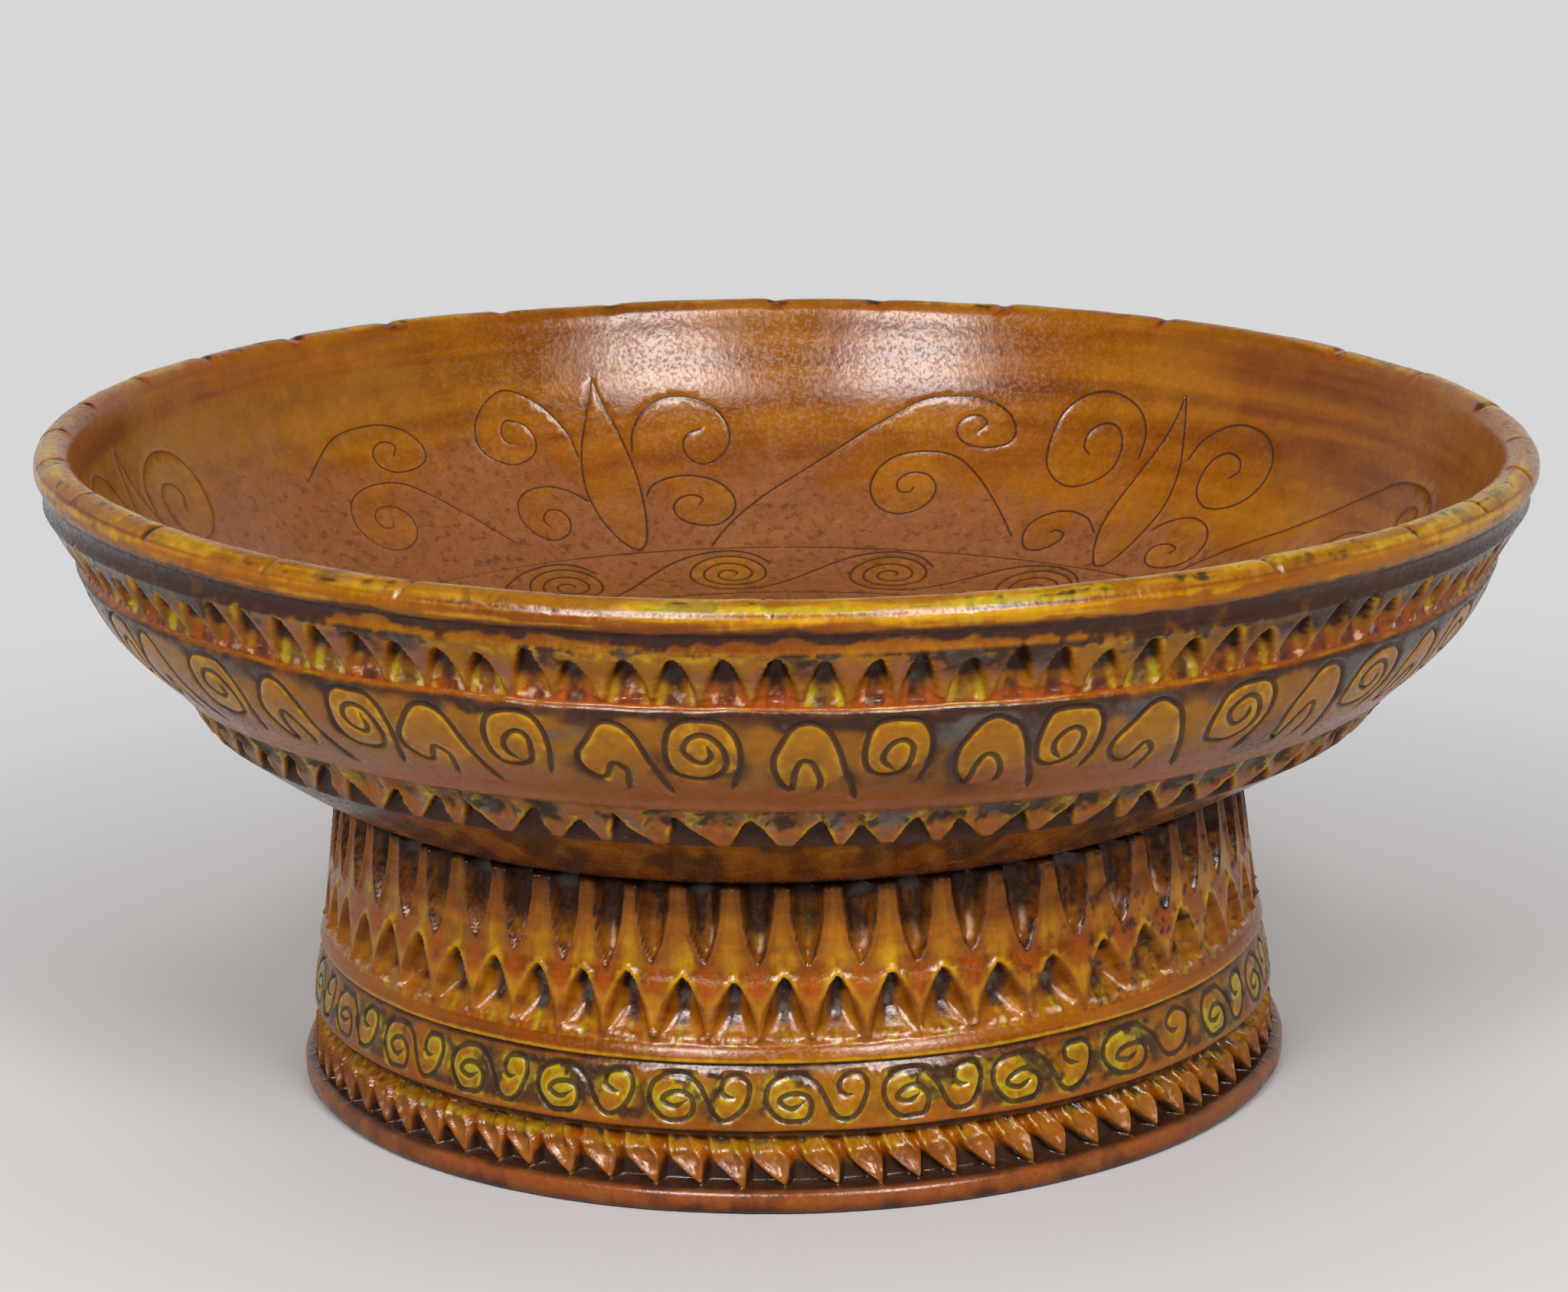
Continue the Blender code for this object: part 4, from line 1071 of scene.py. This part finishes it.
def make_rim(wall, theta, last):
    """The dark band under the rim, with painted shade in it, the rounded rim with its thin cuts and a
    painted highlight along it, and the inner lip.
    """
    section = [(145.45, 119.1), (145.5, 119.8), (145.6, 120.5), (145.8, 121.2), (146.15, 121.8)]
    section += [(146.6, 122.35)]
    roll = np.arange(-30, 166, 8)
    middle, level, size = RIM_ROLL
    section += [(middle + size * math.cos(a), level + size * math.sin(a)) for a in np.radians(roll)]
    section += [(140.05, 124.9), (139.8, 124), (139.5, 122.9), (139.2, 121.8)]
    around = down(*range(-90, -39, 10), *roll, *range(172, 191, 6))
    along = down(*lengths(section))
    base_r, base_z = columns(section, BOWL_COLUMNS)
    notches = in_turn(NOTCHES)
    draw = np.random.default_rng(91)
    count = len(notches)
    nearest, _ = local(theta, notches)
    off = wrapped(theta - notches[nearest]) * RIM_RADIUS
    ranges = (0.4, 0.8), (0.3, 0.6), (-1.5, 1.5)
    width, deep, skew = (draw.uniform(low, high, count)[nearest] for low, high in ranges)
    front, back = smooth(np.abs(theta), 0.55, 0.2), smooth(np.abs(theta), 1.7, 2.4)
    width, deep = width + 1.1 * back, deep * (1 - 0.6 * front)
    shifted = off[None, :] + skew * np.sin(np.radians(around - 60))
    reach = smooth(around, 0, 40) * smooth(around, 160, 115)
    notch = bell(shifted, 0, width) * reach
    swell = smooth(around, -30, 50) * smooth(around, 190, 120)
    between = np.searchsorted(notches, theta) % count
    step = draw.uniform(-0.2, 0.2, count)[between] * smooth(np.abs(off), 0.1, 1.5)
    wave = 0.3 * (speckle(theta, RIM_RADIUS, 0, 25, 95) - 0.5)
    wave = wave + 0.15 * (speckle(theta, RIM_RADIUS, around / 12, 7, 98) - 0.5)
    h = (step + wave) * swell - deep * notch
    radius = base_r + h * np.cos(np.radians(around))
    height = base_z + h * np.sin(np.radians(around))
    mottle, coarse = speckle(theta, radius, height, 2.2, 93), speckle(theta, radius, height * 1.6, 9, 94)
    strip = speckle(theta, RIM_RADIUS, along * 9, 20, 96)
    thin = speckle(theta, RIM_RADIUS, along * 12, 9, 99)
    wobble = 2.4 * (speckle(theta, RIM_RADIUS, 0, 6, 97) - 0.5) + 1.6 * (mottle - 0.5)
    wobble = wobble + 2.6 * (speckle(theta, RIM_RADIUS, 0, 24, 92) - 0.5)
    # The dark band under the roll: maroon glaze with painted shade under the overhanging roll, made wider
    # towards both sides as painted shade
    aside = 4 * to_the_side(theta, 0.3, 0.75)
    under = smooth(along + wobble + aside, 0.2, 1.4) * smooth(along + 0.5 * wobble, 5.2, 3.6)
    top = smooth(around, 26, 36) * smooth(around, 150, 100)
    low_half = smooth(around, -34, -10) * smooth(around, 22, 8)
    line = bell(around, 27, 4) * smooth(thin, 0.25, 0.55)
    stain = bell(shifted, 0, width + 0.8) * reach
    drip = bell(off, 0, 3.2 + 1.2 * np.sin(7 * theta)) * smooth(around, 80, 110) * smooth(around, 175, 140)
    masks = {
        "dark": under * (0.6 + 0.6 * mottle) + notch * (0.45 - 0.3 * front) * smooth(around, 115, 95)
        + top * smooth(mottle + 0.5 * coarse, 0.75, 1.1) * 0.45 + line * (0.3 + 0.5 * front)
        + smooth(thin + 0.3 * mottle, 0.8, 1.05) * 0.4 * top + drip * 0.45 * smooth(mottle, 0.1, 0.7),
        "grey": top * smooth(coarse + 0.4 * strip, 0.8, 1.1) * 0.35,
        "olive": top * 0.7,
        "edge": top * (0.1 + 0.4 * smooth(strip, 0.3, 0.7)) * (1 - 0.5 * stain)
        + low_half * smooth(strip + 0.2 * mottle, 0.45, 0.8) * 0.6
        # a painted highlight along the roll
        + bell(around, 17, 8) * (0.2 + 0.4 * strip)
        + smooth(along + wobble + aside, 1.2, 0.2) * (1 - coarse) * 0.3,
        "green": top * smooth(strip + 0.5 * (mottle - 0.5), 0.4, 0.8)
        * (0.45 + 0.3 * front) * (1 - 0.4 * back),
        "warm": low_half * (1 - strip) * 0.3 + stain * 0.2 * (1 - notch) + drip * 0.6,
        "pink": top * smooth(coarse, 0.5, 0.8) * 0.4
        + smooth(around, 86, 100) * smooth(around, 130, 112) * (0.2 + 0.5 * strip),
    }
    return wall.stack(last, theta, radius, height, masks)


def make_inside(wall, last):
    """One patch from the lip down to the middle, triangulated along the ornament's grooves."""
    curve = profile(INNER_CURVE, 0.5)
    theta = angles(SMOOTH_COLUMNS)
    start = CREST_OFFSET + 1.2
    edge = [np.interp(start - CREST_OFFSET, curve[2], c) for c in curve[:2]]
    first = wall.stack(last, theta, *columns([edge], SMOOTH_COLUMNS), {})
    lines, clean = inner_lines()
    grid = hexagons(-9, FLOOR_REACH - start, 1.9, 52)
    border = circle(FLOOR_REACH - start, theta)
    coords, faces, cut, depths, beyond, source = engrave(lines, [border], grid, 0.6)
    s = FLOOR_REACH - np.hypot(*coords.T)
    points = on_curve(coords, s, curve, cut, depths, CREST_OFFSET, -1)
    within = inside_any(coords, clean)
    coarse, blur = noise(points, 14, 62), noise(points, 40, 63)
    left = smooth(-points[:, 0], 0, 90)
    fainter = 0.06 * smooth(left, 0.4, 0.8) + 0.05 * coarse * smooth(s, 30, 40) * smooth(s, 64, 60)
    masks = {
        "line": 0.5 - beyond / 1.6 - fainter,
        "fill": within * 0.3 * (0.5 + coarse),
        "olive": left * smooth(s, 45, 20) * 0.6,
        "mauve": smooth(s + 18 * (coarse - 0.5) + 16 * left + 12 * (blur - 0.5), 32, 62)
        * (1 - 0.4 * within),
    }
    wall.patch(points, masks, faces, source, [first], outward=1)


def make_scroll_band(wall, theta, rings):
    """The bulged band with its scrolls, triangulated along their grooves."""
    curve = profile(BAND_CURVE, 0.5)
    limits = curve[2][-1] - 0.35, 0.9
    borders = [circle(BAND_PLANE + s, theta) for s in limits]
    lines, rounds = band_lines()
    grid = hexagons(BAND_PLANE + limits[1] + 0.2, BAND_PLANE + limits[0] - 0.2, 1.4, 42)
    coords, faces, cut, depths, beyond, source = engrave(lines, borders, grid, 0.45)
    s = np.hypot(*coords.T) - BAND_PLANE
    points = on_curve(coords, s, curve, cut, depths)
    mottle, coarse, blur = noise(points, 2.5, 43), noise(points, 9, 44), noise(points, 25, 45)
    within = inside_any(coords, rounds)
    hem = bell(np.maximum(beyond - 0.1, 0), 0, 0.55)
    level = s + 8 * (coarse - 0.5)
    low_zone = smooth(level, 12, 6.5)
    masks = {
        "line": 0.5 - beyond / 1.6,
        "olive": (1 - low_zone) * (0.55 + 0.4 * blur),
        "fill": within * (0.15 + 0.75 * mottle) * (1 - 0.5 * low_zone),
        "pink": low_zone * (0.65 + 0.3 * mottle),
        "dark": smooth(level, 22, 25.5) * (0.55 + 0.7 * blur) * (1 - 0.6 * within)
        + smooth(beyond, 1.8, 0.2) * (1 - within) * smooth(coarse + 0.3 * mottle, 0.4, 0.9) * 0.45
        + smooth(blur + 0.4 * coarse, 0.64, 0.95) * 0.45 * (1 - within),
        "grey": (1 - 0.85 * within) * (
            smooth(level, 17, 24) * smooth(coarse, 0.45, 0.75) * 0.9
            + smooth(coarse + 0.4 * mottle, 0.9, 1.15) * 0.4
        ),
        "edge": hem * (1 - 0.5 * low_zone) * (0.9 * mottle + 0.3 * within - 0.2),
        "warm": smooth(blur + 0.3 * mottle, 0.6, 1) * 0.45,
    }
    wall.patch(points, masks, faces, source, rings)


def make_bowl():
    wall = Wall()
    theta = angles(BOWL_COLUMNS)
    bottom_ring = make_lower_band(wall, theta, make_underside(wall))
    top_ring, high = make_upper_band(wall, theta)
    make_inside(wall, make_rim(wall, theta, high))
    make_scroll_band(wall, theta, [top_ring, bottom_ring])
    return wall.mesh("bowl_carved", settle)


def make_seam():
    """The ring of slip between foot and bowl, pressed out a little and dark with pooled glaze and painted
    shade in the joint.
    """
    wall = Wall()
    theta = angles(SMOOTH_COLUMNS)
    section = [
        (78.2, 60.6), (78.6, 59.9), (82, 59.65), (86, 59.9), (87.2, 60.2), (87.7, 60.7), (87.2, 61.15),
        (85, 61.3), (80, 61.2), (78.6, 61),
    ]
    radius, height = columns(section, SMOOTH_COLUMNS)
    radius = radius + 0.3 * (speckle(theta, 88, 60, 8, 101) - 0.5)
    mottle = speckle(theta, radius, height, 4, 102)
    first, last = wall.rows(theta, radius, height, {"dark": 0.6 + 0.4 * mottle, "warm": 0.4})
    wall.zip(last, first)
    return wall.mesh("slip_ring")


# Materials


def srgb(*levels):
    """A colour from red, green and blue, each from 0 to 255."""
    linear = (c / 255 / 12.92 if c < 11 else ((c / 255 + 0.055) / 1.055) ** 2.4 for c in levels)
    return [*linear, 1]


AMBER = srgb(146, 84, 8)
AMBER_DEEP = srgb(112, 56, 6)
OCHRE = srgb(174, 116, 12)
OLIVE = srgb(140, 92, 14)
MAUVE = srgb(130, 80, 48)
MAUVE_DEEP = srgb(96, 58, 36)
RED_ORANGE = srgb(150, 64, 4)
PINK = srgb(140, 80, 44)
PAINTED_GLINT = srgb(220, 176, 144)
YELLOW = srgb(194, 144, 12)
YELLOW_GREEN = srgb(168, 150, 20)
GREY = srgb(90, 82, 76)
DARK = srgb(48, 28, 22)
LINE = srgb(58, 32, 22)
CLAY = srgb(188, 132, 96)


class Nodes:
    """A new material with short ways to make its nodes. A value is a number, a colour or a socket."""

    def __init__(self, name):
        self.material = bpy.data.materials.new(name)
        self.material.use_nodes = True
        self.tree = self.material.node_tree
        self.shader = self.tree.nodes["Principled BSDF"]

    def node(self, kind, **values):
        made = self.tree.nodes.new(kind)
        for name, value in values.items():
            if name in made.inputs:
                self.set(made.inputs[name], value)
            else:
                setattr(made, name, value)
        return made

    def set(self, socket, value):
        if isinstance(value, bpy.types.NodeSocket):
            self.tree.links.new(value, socket)
        else:
            socket.default_value = value

    def math(self, operation, *values):
        made = self.node("ShaderNodeMath", operation=operation)
        for socket, value in zip(made.inputs, values):
            self.set(socket, value)
        return made.outputs[0]

    def plus(self, first, second):
        return self.math("ADD", first, second)

    def times(self, first, second):
        return self.math("MULTIPLY", first, second)

    def ramp(self, value, low, high):
        """0 below low and 1 above high."""
        made = self.node("ShaderNodeMapRange", interpolation_type="SMOOTHSTEP", Value=value)
        made.inputs["From Min"].default_value, made.inputs["From Max"].default_value = low, high
        return made.outputs["Result"]

    def mix(self, factor, first, second):
        made = self.node("ShaderNodeMix", data_type="RGBA")
        for name, value in (("Factor", factor), ("A", first), ("B", second)):
            self.set(made.inputs[name], value)
        return made.outputs["Result"]


class Glaze(Nodes):
    """A glazed ceramic material, whose colours come from the masks of the mesh, broken up by noise."""

    def __init__(self, name):
        super().__init__(name)
        self.place = self.node("ShaderNodeTexCoord").outputs["Object"]
        x, y, z = self.node("ShaderNodeSeparateXYZ", Vector=self.place).outputs
        flat = self.node("ShaderNodeCombineXYZ", X=x, Y=y).outputs[0]
        radius = self.node("ShaderNodeVectorMath", operation="LENGTH", Vector=flat).outputs["Value"]
        direction = self.node("ShaderNodeVectorMath", operation="NORMALIZE", Vector=flat).outputs["Vector"]
        self.polar = direction, self.math("SUBTRACT", z, self.times(radius, 0.5))
        self.masks = {}
        for k, name in enumerate(LAYERS):
            layer = self.node("ShaderNodeAttribute", attribute_name=name).outputs
            channels = self.node("ShaderNodeSeparateColor", Color=layer["Color"]).outputs
            self.masks.update(zip(MASKS[k * CHANNELS :], [*channels, layer["Alpha"]]))

    def noise(self, size, detail=3, at=None, rough=0.55):
        """Noise with features of this size in metres, or of this size in the units of another place."""
        place = at or self.place
        made = self.node("ShaderNodeTexNoise", Vector=place, Scale=1 / size, Detail=detail, Roughness=rough)
        return made.outputs["Fac"]

    def stretched(self, around, along, detail=3):
        """Noise with features this many metres long around the turning axis and along the wall."""
        direction, height = self.polar
        scaled = self.node("ShaderNodeVectorMath", operation="SCALE", Vector=direction, Scale=0.14 / around)
        x, y, _ = self.node("ShaderNodeSeparateXYZ", Vector=scaled.outputs["Vector"]).outputs
        z = self.times(height, 1 / along)
        return self.noise(1, detail, self.node("ShaderNodeCombineXYZ", X=x, Y=y, Z=z).outputs[0])


def glaze(name):
    g = Glaze(name)
    m = g.masks
    fine, mid, broad = g.noise(0.0016, 4), g.noise(0.006, 4), g.noise(0.03, 3)
    wiped, run, grain = g.stretched(0.09, 0.004), g.stretched(0.003, 0.02), g.stretched(0.004, 0.0016)

    def part(mask, noise, weight):
        """A mask broken up by a noise."""
        change = g.times(g.math("SUBTRACT", noise, 0.5), weight)
        return g.ramp(g.plus(mask, change), 0.1, 0.95)

    colour = g.mix(g.ramp(wiped, 0.32, 0.68), AMBER_DEEP, AMBER)
    colour = g.mix(g.times(g.ramp(broad, 0.45, 0.7), 0.3), colour, OCHRE)
    mauve_tones = g.mix(g.ramp(g.noise(0.0022, 4, rough=0.75), 0.52, 0.64), MAUVE, MAUVE_DEEP)
    for mask, noise, weight, most, tint in (
        ("olive", mid, 0.7, 0.9, OLIVE),
        ("mauve", grain, 1.1, 0.8, mauve_tones),
        ("fill", fine, 0.3, 0.6, OCHRE),
        ("warm", mid, 0.7, 0.9, RED_ORANGE),
        ("pink", fine, 0.8, 0.9, PINK),
        ("edge", run, 0.7, 0.9, YELLOW),
        ("green", fine, 0.8, 0.9, YELLOW_GREEN),
        # pale paints glints and highlights
        ("pale", fine, 0.8, 0.9, PAINTED_GLINT),
        # dark is dark glaze, and painted shade in cuts, hollows and joints
        ("dark", mid, 0.7, 0.95, DARK),
        ("grey", fine, 0.8, 0.8, GREY),
    ):
        colour = g.mix(g.times(part(m[mask], noise, weight), most), colour, tint)
    edge = g.plus(m["line"], g.times(g.math("SUBTRACT", fine, 0.5), 0.15))
    colour = g.mix(g.times(g.ramp(edge, 0.47, 0.58), 0.85), colour, LINE)
    tone = g.plus(g.times(mid, 0.5), g.plus(g.times(fine, 0.5), 0.5))
    colour = g.node("ShaderNodeVectorMath", operation="SCALE", Vector=colour, Scale=tone).outputs["Vector"]
    colour = g.mix(m["bare"], colour, CLAY)
    g.set(g.shader.inputs["Base Color"], colour)
    matt = g.ramp(g.noise(0.0009, 3, rough=0.7), 0.5, 0.58)
    rough = g.plus(g.times(matt, 0.22), g.plus(g.times(g.ramp(mid, 0.3, 0.8), 0.08), 0.14))
    g.set(g.shader.inputs["Roughness"], g.math("MAXIMUM", rough, g.times(m["bare"], 0.85)))
    g.shader.inputs["Specular IOR Level"].default_value = 0.18
    peel = g.node("ShaderNodeBump", Strength=0.15, Distance=0.0003, Height=g.noise(0.004, 2))
    peel = peel.outputs["Normal"]
    pits = g.node("ShaderNodeBump", Strength=0.4, Distance=0.0002, Height=fine, Normal=peel)
    g.set(g.shader.inputs["Normal"], pits.outputs["Normal"])
    return g.material


# Stage


def area(name, place, target, width, height, power):
    data = bpy.data.lights.new(name, "AREA")
    data.shape, data.size, data.size_y, data.energy = "RECTANGLE", width, height, power
    light = new_object(name, data)
    light.location = place
    light.rotation_euler = (Vector(target) - Vector(place)).to_track_quat("-Z", "Y").to_euler()
    return light


def make_paper():
    """White paper that is lit near the object, and is seen as evenly pale further out."""
    p = Nodes("pale_paper")
    for name, value in (("Base Color", srgb(*PAPER)), ("Roughness", 0.9), ("Specular IOR Level", 0.1)):
        p.shader.inputs[name].default_value = value
    place = p.node("ShaderNodeNewGeometry").outputs["Position"]
    size = p.node("ShaderNodeVectorMath", operation="LENGTH", Vector=place).outputs["Value"]
    path = p.node("ShaderNodeLightPath").outputs
    seen = path["Is Camera Ray"]
    for ray in ("Is Glossy Ray", "Is Transmission Ray"):
        seen = p.math("MAXIMUM", seen, path[ray])
    mixed = p.node("ShaderNodeMixShader", Fac=p.times(seen, p.ramp(size, *PALE_FROM)))
    pale = p.node("ShaderNodeEmission", Color=srgb(*BACKGROUND))
    p.set(mixed.inputs[1], p.shader.outputs[0])
    p.set(mixed.inputs[2], pale.outputs[0])
    p.set(p.tree.nodes["Material Output"].inputs["Surface"], mixed.outputs[0])
    return p.material


PAPER = 206, 203, 202
BACKGROUND = 215, 215, 216
# Metres from the middle at which the paper starts and ends to be evenly pale
PALE_FROM = 0.1, 0.45
# The sweep of paper behind and beside the bowl: metres from the middle and above the floor
SWEEP = ((1.76, -0.02), (1.92, 0.02), (2.08, 0.10), (2.21, 0.24), (2.29, 0.45), (2.32, 0.72), (2.32, 1.76))


def make_stage():
    paper = make_paper()
    turns = np.radians(np.arange(-110, 111, 5))
    wall = [(r * math.sin(t), r * math.cos(t), z) for r, z in SWEEP for t in turns]
    n = len(turns)
    corners = [k * n + i for k in range(len(SWEEP) - 1) for i in range(n - 1)]
    faces = [(a, a + 1, a + n + 1, a + n) for a in corners]
    staged = []
    floor = [(-9, -9, 0), (9, -9, 0), (9, 9, 0), (-9, 9, 0)], [(0, 1, 2, 3)]
    for name, (points, polygons) in (("floor", floor), ("backdrop", (wall, faces))):
        data = bpy.data.meshes.new(name)
        data.from_pydata(points, [], polygons)
        data.shade_smooth()
        data.materials.append(paper)
        staged.append(new_object(name, data))
        # a hair under the foot, so that the two do not share a plane
        staged[-1].location.z = cad_low[2] - 0.0002
    world = bpy.data.worlds.new("studio")
    world.use_nodes = True
    world.node_tree.nodes["Background"].inputs["Color"].default_value = srgb(232, 232, 236)
    world.node_tree.nodes["Background"].inputs["Strength"].default_value = 0.1
    bpy.context.scene.world = world
    bpy.context.scene.view_settings.view_transform = "Standard"
    # two windows in front, and at each a larger lamp that only shows as a glint
    for side, x, width, wide in (("right", 0.55, 0.42, 0.64), ("left", -0.54, 0.48, 0.58)):
        area("window_" + side, (x, -1.21, 0.98), (0, 0, 0.09), width, 0.60, 16)
        area("glint_" + side, (x, -1.14, 1.08), (0, 0, 0.09), wide, 0.85, 42).visible_diffuse = False
    # lamps that light the top and the back, and never show as a glint
    area("ceiling", (0, 0.1, 1.6), (0, 0, 0), 1.5, 1.5, 8).visible_glossy = False
    area("fill_behind", (0, 1.5, 0.9), (0, 0, 0.06), 1.6, 1, 7).visible_glossy = False


# The camera is fitted to the photo's rim, band and foot ellipses
CAMERA_PLACE = (-0.00017, -0.8937, 0.30506)
CAMERA_PITCH, CAMERA_ROLL = math.radians(13.95), math.radians(-1.34)
FOCAL_PIXELS, PHOTO_WIDTH, SENSOR = 6000, 2048, 36


def make_camera():
    data = bpy.data.cameras.new("camera")
    data.sensor_fit, data.sensor_width = "HORIZONTAL", SENSOR
    data.lens = SENSOR * FOCAL_PIXELS / PHOTO_WIDTH
    camera = new_object("camera", data)
    turn = Matrix.Rotation(math.pi / 2 - CAMERA_PITCH, 4, "X") @ Matrix.Rotation(CAMERA_ROLL, 4, "Z")
    camera.matrix_world = Matrix.Translation(CAMERA_PLACE) @ turn
    bpy.context.scene.camera = camera


for make, node, slot in (
    (make_bowl, "bowl", "bowl_glaze"),
    (make_foot, "foot", "foot_glaze"),
    (make_seam, "slip_seam", "slip"),
):
    piece = make()
    piece.data.materials.append(glaze(slot))
    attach(piece, "root")
    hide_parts(node)

make_stage()
make_camera()
